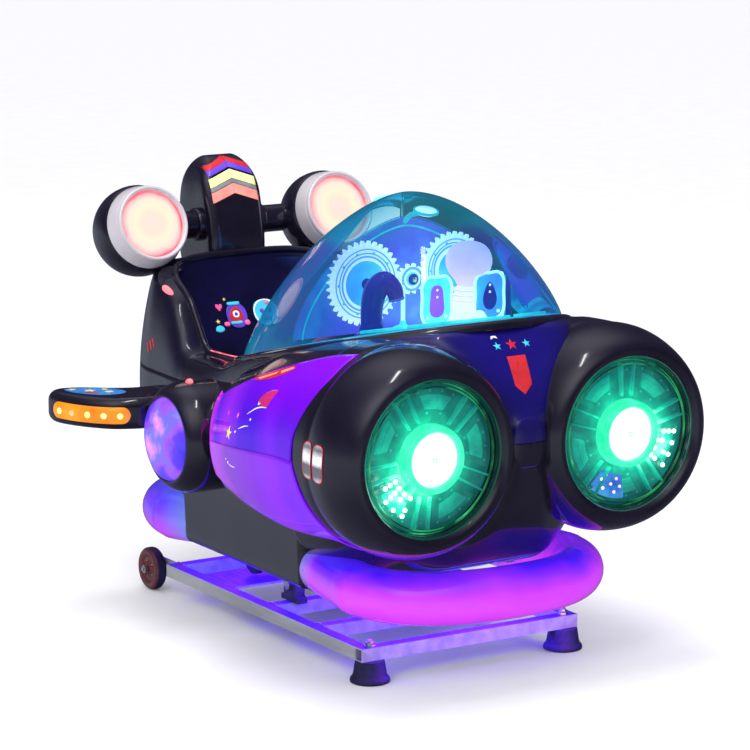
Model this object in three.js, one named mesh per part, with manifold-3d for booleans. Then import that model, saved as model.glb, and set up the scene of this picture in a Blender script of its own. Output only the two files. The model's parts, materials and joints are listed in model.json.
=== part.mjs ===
// A coin-operated rocking ride: a small spacecraft on a steel base frame.
// Millimetres, +Z up, the nose points along -Y, X = 0 is the plane of symmetry.
import * as THREE from "three";
import { mergeVertices } from "three/addons/utils/BufferGeometryUtils.js";
import Module from "manifold-3d";

const wasm = await Module();
wasm.setup();

const GAP = 0.3; // clearance between pieces that touch
const HUGE = 3000; // longer than anything here, for cutting blocks
const MIDDLE_Y = 493; // half way between the headlamps and the back of the headrest

// Base frame
const TUBE = 30;
const TUBE_WALL = 2.5;
const FRAME_HALF = 290;
const FRAME_LENGTH = 907;
const FOOT_HEIGHT = 50;
const FOOT_X = 260;
const FRAME_TOP = FOOT_HEIGHT + TUBE;
const WHEEL = { y: 990, z: 52, r: 52, width: 30, outer: 300, bore: 6.5 };
const BOLT_R = 6;

// Rocking drive
const PIVOT = { y: 445, z: 120, r: 12 };
const DRIVE = { y: 700, z: 130, crank: 13.4, rod: 95, pin: 7 };

// Hull
const SKIN = 9;
const SEAM = 556;
const PANEL = { front: 256, back: 796, half: 300, bottom: 160, top: 330 };
const RING = { r: 60, skin: 6, z: 200, half: 288, front: 40, back: 880, reachFront: 184, reachBack: 214, power: 2.3 };
const LAMP = { x: 256, z: 548, r: 234, back: 227, lens: 165.5, face: -250, band: -20 };
const POD = { y: 628, z: 457, r: 120, root: 322, rim: 440, lens: 96.5 };
const WING = { low: 462, high: 538 };
const TOP_LAMP = { x: 263, y: 1008, z: 901, tilt: 20, ring: 95, face: 78 };
const FIN = { half: 70, back: 1236, barY: 1110, barZ: 873, barR: 34 };
const DOME = { y: 240, z: 720, half: 324, front: 350, back: 600, height: 324, slope: 13.6, power: 1.5, skin: 5 };
const TUB = { half: 225, skin: 6 };

// Moving show gears inside the dome
const MODULE = 5.3;
const GEARS = { y: 259, thick: 14, bore: 8.5, pin: 7.7, small: { x: 4, z: 846, teeth: 12 } };
const WHEEL_AXIS = 50; // the steering column leans this many degrees from level
const STEER = { y: 566, z: 640, r: 88 };

// ---------- solids ----------

function solid(geometry) {
  const plain = geometry.index ? geometry.toNonIndexed() : geometry.clone();
  const bare = new THREE.BufferGeometry().setAttribute("position", plain.getAttribute("position"));
  const merged = mergeVertices(bare, 1e-3);
  const place = merged.attributes.position.array;
  const faces = new Uint32Array(merged.index.array);
  const corner = (i) => new THREE.Vector3().fromArray(place, 3 * faces[i]);
  let volume = 0;
  for (let i = 0; i < faces.length; i += 3) {
    volume += corner(i).dot(corner(i + 1).cross(corner(i + 2)));
  }
  if (volume < 0) faces.reverse(); // a mirrored or reversed outline: turn its faces outwards
  return new wasm.Manifold(new wasm.Mesh({ numProp: 3, vertProperties: place, triVerts: faces }));
}

function geometryOf(body) {
  const mesh = body.getMesh();
  const geometry = new THREE.BufferGeometry();
  geometry.setAttribute("position", new THREE.BufferAttribute(mesh.vertProperties, 3));
  geometry.setIndex(new THREE.BufferAttribute(mesh.triVerts, 1));
  geometry.computeVertexNormals();
  return geometry;
}

const joined = (bodies) => bodies.reduce((all, body) => all.add(body));
const cut = (body, ...tools) => tools.reduce((left, tool) => left.subtract(tool), body);

// A block between two opposite corners.
function block(low, high) {
  const size = high.map((value, i) => value - low[i]);
  const middle = high.map((value, i) => (value + low[i]) / 2);
  return solid(new THREE.BoxGeometry(...size).translate(...middle));
}

// A profile of [radius, height] points turned about a line through `at` along `axis`.
function turned(profile, axis, at, sides = 20) {
  const points = profile.map(([r, h]) => new THREE.Vector2(r, h));
  const geometry = new THREE.LatheGeometry(points, sides);
  const direction = new THREE.Vector3(...axis).normalize();
  const turn = new THREE.Quaternion().setFromUnitVectors(new THREE.Vector3(0, 1, 0), direction);
  return solid(geometry.applyQuaternion(turn).translate(...at));
}

function rod(axis, at, r, from, to, sides = 12) {
  return turned([[0, from], [r, from], [r, to], [0, to]], axis, at, sides);
}

// A closed outline drawn in the (y, z) plane, given width along X.
function sideCut(outline, from, to, bevel = 0) {
  const shape = new THREE.Shape(outline.map(([y, z]) => new THREE.Vector2(y, z)));
  const options = { depth: to - from - 2 * bevel, bevelEnabled: bevel > 0, curveSegments: 6 };
  Object.assign(options, { bevelThickness: bevel, bevelSize: bevel, bevelOffset: -bevel, bevelSegments: 3 });
  const geometry = new THREE.ExtrudeGeometry(shape, options).translate(0, 0, from + bevel);
  const axes = [new THREE.Vector3(0, 1, 0), new THREE.Vector3(0, 0, 1), new THREE.Vector3(1, 0, 0)];
  return solid(geometry.applyMatrix4(new THREE.Matrix4().makeBasis(...axes)));
}

// A closed outline drawn in the (x, y) plane, given height along Z.
function planCut(outline, low, high, bevel = 0) {
  const shape = new THREE.Shape(outline.map(([x, y]) => new THREE.Vector2(x, y)));
  const options = { depth: high - low - 2 * bevel, bevelEnabled: bevel > 0 };
  Object.assign(options, { bevelThickness: bevel, bevelSize: bevel, bevelOffset: -bevel, bevelSegments: 3 });
  return solid(new THREE.ExtrudeGeometry(shape, options).translate(0, 0, low + bevel));
}

// A skin through rings of equal point counts, closed by a fan at each end.
function loft(rings) {
  const count = rings[0].length;
  const centre = (ring) => ring[0].map((_, k) => ring.reduce((sum, p) => sum + p[k], 0) / count);
  const last = rings.length - 1;
  const place = [...rings.flat(), centre(rings[0]), centre(rings[last])];
  const faces = [];
  for (let i = 0; i < count; i++) {
    const j = (i + 1) % count;
    for (let k = 0; k < last; k++) {
      const [a, b, c, d] = [k * count + i, k * count + j, (k + 1) * count + j, (k + 1) * count + i];
      faces.push(a, b, c, a, c, d);
    }
    faces.push(j, i, rings.length * count, last * count + i, last * count + j, rings.length * count + 1);
  }
  const geometry = new THREE.BufferGeometry();
  geometry.setAttribute("position", new THREE.Float32BufferAttribute(place.flat(), 3));
  return solid(geometry.setIndex(faces));
}

function tube(points, r, sides, steps) {
  const circle = new THREE.Shape().absarc(0, 0, r, 0, 2 * Math.PI);
  const path = new THREE.CatmullRomCurve3(points.map((p) => new THREE.Vector3(...p)));
  const options = { steps, curveSegments: sides, extrudePath: path, bevelEnabled: false };
  return solid(new THREE.ExtrudeGeometry(circle, options));
}

// ---------- the assembly ----------

const ride = new THREE.Group();
ride.position.y = -MIDDLE_Y;

const finish = (color, roughness, metalness = 0) => ({ color, roughness, metalness });
const ZINC = finish(0x9aa0a8, 0.4, 0.9);
const BRIGHT = finish(0xc8ccd0, 0.25, 1);
const RUBBER = finish(0x141417, 0.8);
const CAST = finish(0x33383d, 0.6, 0.6);
const GLOSS_BLACK = finish(0x0b0a12, 0.12);
const VIOLET = finish(0x6a10f0, 0.2);
const MAGENTA = finish(0xb030ff, 0.35);
const TEAL = finish(0x0fae94, 0.15);
const CYAN = finish(0x2aa8d0, 0.1);
const PEARL = finish(0xc9c4cc, 0.3, 0.4);
const GLOW = finish(0xffe6e6, 0.4);
const AMBER = finish(0xff9020, 0.3);
const MAROON = finish(0x5a1c1c, 0.5);
const GEAR_WHITE = finish(0xcfe8ff, 0.35);
const RED = finish(0xd01828, 0.3);

function add(name, body, look) {
  const mesh = new THREE.Mesh(geometryOf(body), new THREE.MeshStandardMaterial(look));
  mesh.name = name;
  ride.add(mesh);
}

const SIDES = [["left", -1], ["right", 1]];

// ---------- base frame ----------

function squareTubeX(half, y, z) {
  const outer = block([-half, y, z], [half, y + TUBE, z + TUBE]);
  const inner = block(
    [-HUGE, y + TUBE_WALL, z + TUBE_WALL],
    [HUGE, y + TUBE - TUBE_WALL, z + TUBE - TUBE_WALL],
  );
  return cut(outer, inner);
}

function baseFrame() {
  const between = FRAME_HALF - TUBE - GAP;
  const boltHoles = SIDES.map(([, side]) =>
    rod([0, 0, 1], [side * FOOT_X, TUBE / 2, 0], BOLT_R + GAP + 0.7, 0, 200, 8));
  add("front_beam", cut(squareTubeX(FRAME_HALF, 0, FOOT_HEIGHT), ...boltHoles), ZINC);
  add("rear_beam", squareTubeX(between, FRAME_LENGTH - TUBE, FOOT_HEIGHT), ZINC);
  add("front_crossbeam", squareTubeX(between, 215, FOOT_HEIGHT), ZINC);
  add("pivot_crossbeam", squareTubeX(between, PIVOT.y - TUBE / 2, FOOT_HEIGHT), ZINC);
  add("motor_plate", block([-between, 625, FRAME_TOP - 6], [between, 775, FRAME_TOP]), ZINC);
  for (const [name, side] of SIDES) {
    const x = side * (FRAME_HALF - TUBE / 2);
    const [low, high] = [x - TUBE / 2, x + TUBE / 2];
    const wall = TUBE_WALL;
    const rail = cut(
      block([low, TUBE + GAP, FOOT_HEIGHT], [high, FRAME_LENGTH, FRAME_TOP]),
      block([low + wall, -HUGE, FOOT_HEIGHT + wall], [high - wall, HUGE, FRAME_TOP - wall]),
    );
    const inner = side * (FRAME_HALF - TUBE);
    const tab = [inner, inner + side * 5].sort((a, b) => a - b);
    const bracket = cut(
      block([tab[0], FRAME_LENGTH - 3, 36], [tab[1], WHEEL.y + 18, FRAME_TOP]),
      rod([1, 0, 0], [0, WHEEL.y, WHEEL.z], BOLT_R + GAP, -HUGE, HUGE),
    );
    add("side_rail_" + name, rail.add(bracket), ZINC);
    footAndWheel(name, side);
  }
}

function footAndWheel(name, side) {
  const foot = [[0, 0], [45, 0], [45, 4], [36, FOOT_HEIGHT - GAP], [0, FOOT_HEIGHT - GAP]];
  const at = [side * FOOT_X, TUBE / 2, 0];
  const hole = rod([0, 0, 1], at, BOLT_R + GAP, 26, HUGE);
  add("foot_" + name, cut(turned(foot, [0, 0, 1], at, 16), hole), RUBBER);
  const top = FRAME_TOP + GAP;
  const bolt = [[0, 27], [BOLT_R, 27], [BOLT_R, top], [14, top], [14, top + 2.5], [10.5, top + 2.5]];
  bolt.push([10.5, top + 10], [BOLT_R, top + 10], [BOLT_R, top + 15], [0, top + 15]);
  add("foot_bolt_" + name, turned(bolt, [0, 0, 1], at, 6), BRIGHT);

  const inner = WHEEL.outer - WHEEL.width;
  const axle = [side, 0, 0];
  const hub = [0, WHEEL.y, WHEEL.z];
  const wheel = [[WHEEL.bore, inner], [16, inner], [16, inner + 9], [38, inner + 9], [38, inner]];
  wheel.push([WHEEL.r - 4, inner], [WHEEL.r, inner + 5], [WHEEL.r, WHEEL.outer - 5]);
  wheel.push([WHEEL.r - 4, WHEEL.outer], [38, WHEEL.outer], [38, WHEEL.outer - 9]);
  wheel.push([16, WHEEL.outer - 9], [16, WHEEL.outer], [WHEEL.bore, WHEEL.outer], [WHEEL.bore, inner]);
  add("rear_wheel_" + name, turned(wheel, axle, hub, 18), MAROON);
  const head = FRAME_HALF - TUBE - GAP;
  const bolts = [[0, head - 7], [10, head - 7], [10, head], [BOLT_R, head], [BOLT_R, WHEEL.outer + 1]];
  bolts.push([10.5, WHEEL.outer + 1], [10.5, WHEEL.outer + 9], [BOLT_R, WHEEL.outer + 9]);
  bolts.push([BOLT_R, WHEEL.outer + 13], [0, WHEEL.outer + 13]);
  add("axle_bolt_" + name, turned(bolts, axle, hub, 6), BRIGHT);
}

// ---------- rocking drive ----------

function drive() {
  const low = FRAME_TOP + GAP;
  for (const [name, side] of SIDES) {
    const outline = [[PIVOT.y - 38, low], [PIVOT.y + 38, low], [PIVOT.y + 38, low + 12]];
    outline.push([PIVOT.y + 26, low + 16], [PIVOT.y + 26, 138], [PIVOT.y + 12, 150]);
    outline.push([PIVOT.y - 12, 150], [PIVOT.y - 26, 138], [PIVOT.y - 26, low + 16], [PIVOT.y - 38, low + 12]);
    const [from, to] = [side * 188, side * 214].sort((a, b) => a - b);
    const bore = rod([1, 0, 0], [0, PIVOT.y, PIVOT.z], PIVOT.r + GAP, -HUGE, HUGE);
    add("pillow_block_" + name, cut(sideCut(outline, from, to), bore), CAST);
  }
  add("pivot_shaft", rod([1, 0, 0], [0, PIVOT.y, PIVOT.z], PIVOT.r, -222, 222), BRIGHT);

  const output = rod([1, 0, 0], [0, DRIVE.y, DRIVE.z], 11, 25, HUGE);
  const foot = block([-10, 645, low], [70, 755, low + 8]);
  const box = block([-10, 660, low], [60, 740, 168]);
  const flange = rod([1, 0, 0], [0, DRIVE.y, DRIVE.z], 26, 30, 66, 24);
  add("gearbox", cut(joined([foot, box, flange]), output), CAST);
  const shell = [[0, -10.3], [43, -10.3], [43, -22], [38, -24], [38, -150], [42, -152], [42, -168], [0, -176]];
  add("motor", turned(shell, [1, 0, 0], [0, DRIVE.y, 126], 16), CAST);

  const pinY = DRIVE.y + DRIVE.crank;
  const disc = rod([1, 0, 0], [0, DRIVE.y, DRIVE.z], 32, 70, 80, 28);
  const shaft = rod([1, 0, 0], [0, DRIVE.y, DRIVE.z], 10, 28, 72);
  const pin = rod([1, 0, 0], [0, pinY, DRIVE.z], DRIVE.pin, 78, 98);
  add("crank_disc", joined([disc, shaft, pin]), BRIGHT);

  const high = DRIVE.z + DRIVE.rod;
  const eyes = [DRIVE.z, high].map((z) => rod([1, 0, 0], [0, pinY, z], 15, 82, 95, 20));
  const bar = block([84, pinY - 8, DRIVE.z], [93, pinY + 8, high]);
  const bore = rod([1, 0, 0], [0, pinY, DRIVE.z], DRIVE.pin + GAP, -HUGE, HUGE);
  const stub = rod([1, 0, 0], [0, pinY, high], 7, 90, 103);
  add("connecting_rod", cut(joined([...eyes, bar]), bore).add(stub), CAST);
}

function hullFrame() {
  const bars = [-120, 120].map((x) => block([x - 13, 150, 215], [x + 13, 900, 240]));
  const spans = [330, 745].map((y) => block([-PANEL.half + SKIN + GAP, y, 215], [PANEL.half - SKIN - GAP, y + 25, 240]));
  const saddle = block([-165, PIVOT.y - 22, 215], [165, PIVOT.y + 22, 240]);
  const lugs = [-154, 154].map((x) => {
    const plate = block([x - 4, PIVOT.y - 22, PIVOT.z], [x + 4, PIVOT.y + 22, 220]);
    return plate.add(rod([1, 0, 0], [0, PIVOT.y, PIVOT.z], 22, x - 4, x + 4, 20));
  });
  const bore = rod([1, 0, 0], [0, PIVOT.y, PIVOT.z], PIVOT.r + GAP, -HUGE, HUGE);
  const lug = block([108, 690, 205], [118, 740, 220]);
  add("hull_frame", cut(joined([...bars, ...spans, saddle, lug, ...lugs]), bore), CAST);
}

// ---------- hull ----------

// One row per station along the hull: y, then shoulder, top, waist, upper and lower
// waist heights, keel half width and keel height.
const STATIONS = [
  [-219, 25, 610, 45, 580, 530, 25, 500],
  [-195, 70, 682, 100, 600, 480, 50, 400],
  [-151, 140, 757, 165, 640, 450, 90, 320],
  [-108, 175, 793, 205, 660, 400, 120, 269],
  [0, 262, 784, 290, 650, 350, 170, 232],
  [120, 314, 758, 335, 640, 330, 200, 190],
  [300, 332, 713, 350, 620, 320, 220, 172],
  [480, 316, 665, 340, 590, 320, 230, 168],
  [640, 276, 622, 322, 575, 320, 230, 168],
  [700, 262, 619, 318, 570, 320, 230, 168],
  [800, 262, 617, 312, 575, 330, 230, 170],
  [845, 260, 675, 309, 590, 340, 226, 180],
  [890, 260, 732, 305, 610, 355, 220, 195],
  [940, 259, 764, 301, 630, 368, 214, 212],
  [980, 258, 788, 298, 640, 380, 210, 225],
  [1045, 228, 806, 284, 600, 400, 180, 290],
  [1090, 190, 790, 258, 600, 430, 140, 350],
  [1132, 135, 735, 200, 590, 460, 90, 430],
];

function section([y, shoulder, top, waist, upper, lower, keel, bottom], grow) {
  const half = [
    [0, top + grow],
    [shoulder * 0.6, top + grow],
    [shoulder + grow, top + grow - 3],
    [shoulder * 0.6 + waist * 0.4 + grow, top * 0.8 + upper * 0.2 + grow * 0.7],
    [waist + grow, upper],
    [waist + grow, lower],
    [waist * 0.45 + keel * 0.55 + grow, lower * 0.35 + bottom * 0.65],
    [keel + grow, bottom - grow],
    [0, bottom - grow],
  ];
  const mirrored = half.slice(1, -1).reverse().map(([x, z]) => [-x, z]);
  return [...half, ...mirrored].map(([x, z]) => [x, y, z]);
}

function hullCore(grow) {
  const rings = STATIONS.map((row) => section(row, grow));
  const last = rings.length - 1;
  rings[0] = rings[0].map(([x, y, z]) => [x, y - grow, z]);
  rings[last] = rings[last].map(([x, y, z]) => [x, y + grow, z]);
  return loft(rings);
}

// The cone behind a headlamp: y, centre x, centre z, radius.
const CONE = [
  [-160, LAMP.x, LAMP.z, LAMP.r],
  [LAMP.band, LAMP.x, LAMP.z - 3, LAMP.back + 3],
  [200, 262, 521, 219],
  [350, 270, 499, 188],
  [500, 281, 479, 142],
  [590, 287, 470, 118],
];

function cone(side, grow) {
  const rings = CONE.map(([y, x, z, r]) => {
    const ring = [];
    for (let i = 0; i < 20; i++) {
      const angle = (i / 20) * 2 * Math.PI;
      ring.push([side * (x + (r + grow) * Math.cos(angle)), y, z + (r + grow) * Math.sin(angle)]);
    }
    return ring;
  });
  return loft(rings);
}

function headlampShell() {
  const f = LAMP.face;
  const outer = [[166, f + 52], [167, f + 20], [176, f + 4], [188, f], [204, f + 14], [222, f + 48]];
  outer.push([LAMP.r, f + 90], [LAMP.back, LAMP.band - GAP]);
  const inner = [[LAMP.back - 8, LAMP.band - GAP], [LAMP.r - 9, f + 90], [200, f + 28], [188, f + 13]];
  inner.push([180, f + 22], [176, f + 52], [166, f + 52]);
  return [...outer, ...inner];
}

const headlampAt = (side) => [side * LAMP.x, 0, LAMP.z];
const podAt = [0, POD.y, POD.z];

function panelOutline(grow) {
  const back = 640 + grow;
  const top = [[LAMP.band, 752 - grow], [150, 712 - grow], [350, 640 - grow], [back, 560 - grow]];
  return [...top, [back, 390 + grow], [350, 320 + grow], [150, 285 + grow], [LAMP.band, 285 + grow]];
}

function hullShells() {
  const headRoom = SIDES.map(([, side]) => rod([0, 1, 0], headlampAt(side), LAMP.r + 3, -HUGE, LAMP.band, 28));
  const podRoom = SIDES.map(([, side]) => rod([side, 0, 0], podAt, POD.r + GAP + 1, POD.root, HUGE, 24));
  const skirt = (t, low) => block([-PANEL.half + t, PANEL.front + t, low], [PANEL.half - t, PANEL.back - t, PANEL.top - t]);
  const outer = joined([hullCore(0), cone(-1, 0), cone(1, 0), skirt(0, PANEL.bottom)]);
  const hollow = joined([hullCore(-SKIN), cone(-1, -SKIN), cone(1, -SKIN), skirt(SKIN, 100)]);
  const keel = planCut([[-150, -60], [150, -60], [205, 120], [205, 900], [120, 1040], [-120, 1040], [-205, 900], [-205, 120]], 100, 400);
  const tubOuter = tubBody(TUB.half + TUB.skin, TUB.skin);
  const tubRoom = tubBody(TUB.half + TUB.skin + GAP, TUB.skin + GAP);
  const panels = SIDES.map(([name, side]) => {
    const [from, to] = [side * 275, side * 700].sort((a, b) => a - b);
    const wedge = sideCut(panelOutline(0), from, to);
    const thin = cut(cone(side, 0), cone(side, -5)).intersect(wedge);
    add("nacelle_panel_" + name, cut(thin, hullCore(GAP), ...podRoom, ...headRoom), VIOLET);
    return cut(cone(side, 5), cone(side, -5 - GAP)).intersect(sideCut(panelOutline(-GAP), from, to));
  });
  const lampRoom = SIDES.map(([, side]) => lampShell(side, GAP, false));
  const shell = cut(cut(outer, hollow), keel, tubRoom, ...headRoom, ...podRoom, ...lampRoom, ...panels);
  const above = block([-HUGE, -HUGE, SEAM + GAP / 2], [HUGE, HUGE, HUGE]);
  const below = block([-HUGE, -HUGE, -HUGE], [HUGE, HUGE, SEAM - GAP / 2]);
  add("upper_shell", largest(shell.intersect(above)), GLOSS_BLACK);
  add("lower_shell", largest(shell.intersect(below)), GLOSS_BLACK);
  add("cockpit_tub", cut(tubOuter.intersect(hullCore(0)), tubBody(TUB.half, 0), ...lampRoom), GLOSS_BLACK);
}

// Slivers left where curved skins cross are dropped.
function largest(body) {
  return body.decompose().reduce((best, piece) => (piece.volume() > best.volume() ? piece : best));
}

// The cockpit: a foot well, a bench and a backrest.
function tubBody(half, t) {
  const outline = [[500 - t, 335 - t], [700 + t, 335 - t], [722 + t, 505 - t], [925 + t, 505 - t], [1022 + t, 812]];
  outline.push([1022 + t, 1000], [500 - t, 1000]);
  return sideCut(outline, -half, half);
}

function lights() {
  for (const [name, y, reach, wall] of [
    ["front", RING.front, -RING.reachFront, PANEL.front - GAP],
    ["rear", RING.back, RING.reachBack, PANEL.back + GAP],
  ]) {
    const points = [[-RING.half, wall, RING.z]];
    for (let i = 0; i <= 16; i++) {
      const [c, s] = [Math.cos((i / 16) * Math.PI), Math.sin((i / 16) * Math.PI)];
      const x = -Math.sign(c) * RING.half * Math.abs(c) ** (2 / RING.power);
      points.push([x, y + reach * Math.abs(s) ** (2 / RING.power), RING.z]);
    }
    points.push([RING.half, wall, RING.z]);
    const slab = block([-HUGE, PANEL.front - GAP, 0], [HUGE, PANEL.back + GAP, HUGE]);
    const skin = cut(tube(points, RING.r, 6, 16), tube(points, RING.r - RING.skin, 6, 16));
    add("light_ring_" + name, cut(skin, slab, hullCore(GAP)), MAGENTA);
  }
  for (const [name, side] of SIDES) {
    add("headlight_shell_" + name, turned(headlampShell(), [0, 1, 0], headlampAt(side), 28), GLOSS_BLACK);
    const f = LAMP.face;
    const lens = [[0, f + 2], [56, f + 2], [64, f + 18], [110, f + 24], [LAMP.lens, f + 38]];
    lens.push([LAMP.lens, f + 46], [0, f + 46]);
    add("headlight_lens_" + name, turned(lens, [0, 1, 0], headlampAt(side), 28), TEAL);
    const barrel = [[POD.r - 10, POD.root + GAP], [POD.r, POD.root + GAP], [POD.r, POD.rim - 60]];
    barrel.push([POD.r - 4, POD.rim - 30], [POD.r - 12, POD.rim - 10], [POD.lens + 3, POD.rim]);
    barrel.push([POD.lens + GAP, POD.rim], [POD.lens + GAP, POD.rim - 12], [POD.r - 10, POD.rim - 60]);
    barrel.push([POD.r - 10, POD.root + GAP]);
    add("side_pod_" + name, cut(turned(barrel, [side, 0, 0], podAt, 20), hullCore(GAP)), GLOSS_BLACK);
    const dish = [[0, POD.rim - 10], [POD.lens, POD.rim - 10], [POD.lens, POD.rim + 2], [80, POD.rim + 11]];
    dish.push([45, POD.rim + 19], [0, POD.rim + 22]);
    add("side_lens_" + name, turned(dish, [side, 0, 0], podAt, 20), VIOLET);
  }
}

// ---------- wings ----------

const LEADING = [[-472, 734], [-510, 752], [-546, 792], [-572, 842], [-588, 900]];

function wings() {
  const trailing = [[-590, 935], [-568, 956], [-520, 950], [-440, 902], [-380, 858], [-280, 850], [-280, 705]];
  const plan = [[-430, 722], ...LEADING, ...trailing];
  const band = (out) => LEADING.map(([x, y]) => [x - out, y - out]);
  const strip = [...band(4), ...band(-8).reverse()];
  const room = [...band(20), ...band(-8 - GAP).reverse()];
  room[0] = [room[0][0] + 1, room[0][1] - 1];
  const mirror = (outline, side) => outline.map(([x, y]) => [-side * x, y]);
  for (const [name, side] of SIDES) {
    const pocket = planCut(mirror(room, side), 478 - GAP, 520 + GAP);
    const podRoom = rod([side, 0, 0], podAt, POD.r + GAP + 1, POD.root - 20, POD.rim + 25, 24);
    const wing = cut(planCut(mirror(plan, side), WING.low, WING.high, 14), pocket, hullCore(GAP), podRoom);
    add("wing_" + name, wing, GLOSS_BLACK);
    add("wing_lamp_" + name, planCut(mirror(strip, side), 478, 520), AMBER);
  }
}

// ---------- headrest and top lamps ----------

const lampAxis = (() => {
  const tilt = THREE.MathUtils.degToRad(TOP_LAMP.tilt);
  return [0, -Math.cos(tilt), Math.sin(tilt)];
})();

function headrest() {
  const outline = [[1040, 760], [1030, 790], [1036, 850], [1056, 917], [1084, 985], [1112, 1022], [1150, 1035]];
  outline.push([1190, 1024], [1218, 975], [FIN.back, 890], [FIN.back, 800], [1200, 720], [1150, 690]);
  const bar = rod([1, 0, 0], [0, FIN.barY, FIN.barZ], FIN.barR + GAP, -HUGE, HUGE, 20);
  const body = sideCut(outline, -FIN.half, FIN.half, 16);
  const crown = [[-72, 600], [72, 600], [72, 950], [62, 1000], [34, 1036], [-34, 1036], [-62, 1000], [-72, 950]];
  const front = new THREE.ExtrudeGeometry(new THREE.Shape(crown.map(([x, z]) => new THREE.Vector2(x, z))), {
    depth: 400,
    bevelEnabled: false,
  });
  const rounded = body.intersect(solid(front.rotateX(Math.PI / 2).translate(0, 1300, 0)));
  add("headrest_fin", cut(rounded, hullCore(GAP), bar), GLOSS_BLACK);
  const housings = SIDES.map(([, side]) => [side, lampShell(side, GAP, false)]);
  const tubeBar = rod([1, 0, 0], [0, FIN.barY, FIN.barZ], FIN.barR, -230, 230, 20);
  add("lamp_bar", cut(tubeBar, ...housings.map(([, room]) => room)), GLOSS_BLACK);
  for (const [name, side] of SIDES) {
    const at = [side * TOP_LAMP.x, TOP_LAMP.y, TOP_LAMP.z];
    add("lamp_housing_" + name, lampShell(side, 0, true), GLOSS_BLACK);
    const r = TOP_LAMP.ring;
    const ring = [[r - 13, 2], [r - 13, -12], [r - 3, -12], [r, -6], [r - 1, 6], [r - 6, 11], [r - 12, 9], [r - 13, 2]];
    add("lamp_ring_" + name, turned(ring, lampAxis, at, 20), PEARL);
    const face = [[0, -8], [TOP_LAMP.face + 3, -8], [TOP_LAMP.face + 3, 0], [TOP_LAMP.face - 14, 7], [0, 12]];
    add("lamp_face_" + name, turned(face, lampAxis, at, 20), GLOW);
  }
}

// The egg behind a top lamp, hollow from its mouth.
function lampShell(side, grow, hollow) {
  const at = [side * TOP_LAMP.x, TOP_LAMP.y, TOP_LAMP.z];
  const egg = (inset, mouth) => {
    const profile = [[0, mouth], [97, mouth], [105, -50], [103, -85], [84, -122], [48, -146], [0, -154]];
    const shrink = ([r, h], i) => [r && r - inset, i < 2 ? h : h + inset];
    return turned(profile.map(shrink), lampAxis, at, 16);
  };
  const shell = egg(-grow, -12 - GAP + grow);
  return hollow ? cut(shell, egg(8, -12)) : shell;
}

// ---------- dome and show gears ----------

function domeBody(inset) {
  const slope = Math.tan(THREE.MathUtils.degToRad(DOME.slope));
  const rings = [];
  for (let i = 0; i <= 6; i++) {
    const rise = (i / 6) * (Math.PI / 2) * 0.985;
    const wide = Math.cos(rise) ** (2 / DOME.power);
    const high = (DOME.height - inset) * Math.sin(rise) ** (2 / DOME.power);
    const ring = [];
    for (let k = 0; k < 24; k++) {
      const turn = (k / 24) * 2 * Math.PI;
      const reach = Math.sin(turn) < 0 ? DOME.front : DOME.back;
      const y = (reach - inset) * wide * Math.sin(turn);
      ring.push([(DOME.half - inset) * wide * Math.cos(turn), DOME.y + y, DOME.z - y * slope + high]);
    }
    rings.push(ring);
  }
  return loft(rings);
}

function dome() {
  const rear = sideCut([[272, 1070], [650, 628], [650, 0], [1200, 0], [1200, 1400], [272, 1400]], -HUGE, HUGE);
  const shell = cut(domeBody(0), domeBody(DOME.skin), hullCore(GAP), cone(-1, GAP), cone(1, GAP), rear);
  add("dome", largest(shell), CYAN);
}

const GEAR_LIST = (() => {
  const small = GEARS.small;
  const pitch = (teeth) => (MODULE * teeth) / 2;
  const place = (teeth, side, z) => {
    const centre = pitch(teeth) + pitch(small.teeth);
    return { x: small.x + side * Math.sqrt(centre ** 2 - (z - small.z) ** 2), z, teeth };
  };
  return { left: place(35, -1, 846), small, right: place(31, 1, 860) };
})();

function gearBody({ x, z, teeth }, phase) {
  const pitch = (MODULE * teeth) / 2;
  const outline = [];
  for (let i = 0; i < teeth; i++) {
    for (const [part, r] of [[0, pitch + 4], [0.5, pitch - 5.5]]) {
      const angle = ((i + part) / teeth) * 2 * Math.PI + phase;
      outline.push(new THREE.Vector2(r * Math.cos(angle), r * Math.sin(angle)));
    }
  }
  const shape = new THREE.Shape(outline);
  const hole = new THREE.Path().absarc(0, 0, GEARS.bore, 0, 2 * Math.PI);
  shape.holes.push(hole);
  const wheel = new THREE.ExtrudeGeometry(shape, { depth: GEARS.thick, bevelEnabled: false, curveSegments: 8 });
  return solid(wheel.rotateX(Math.PI / 2).translate(x, GEARS.y + GEARS.thick, z));
}

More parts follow.
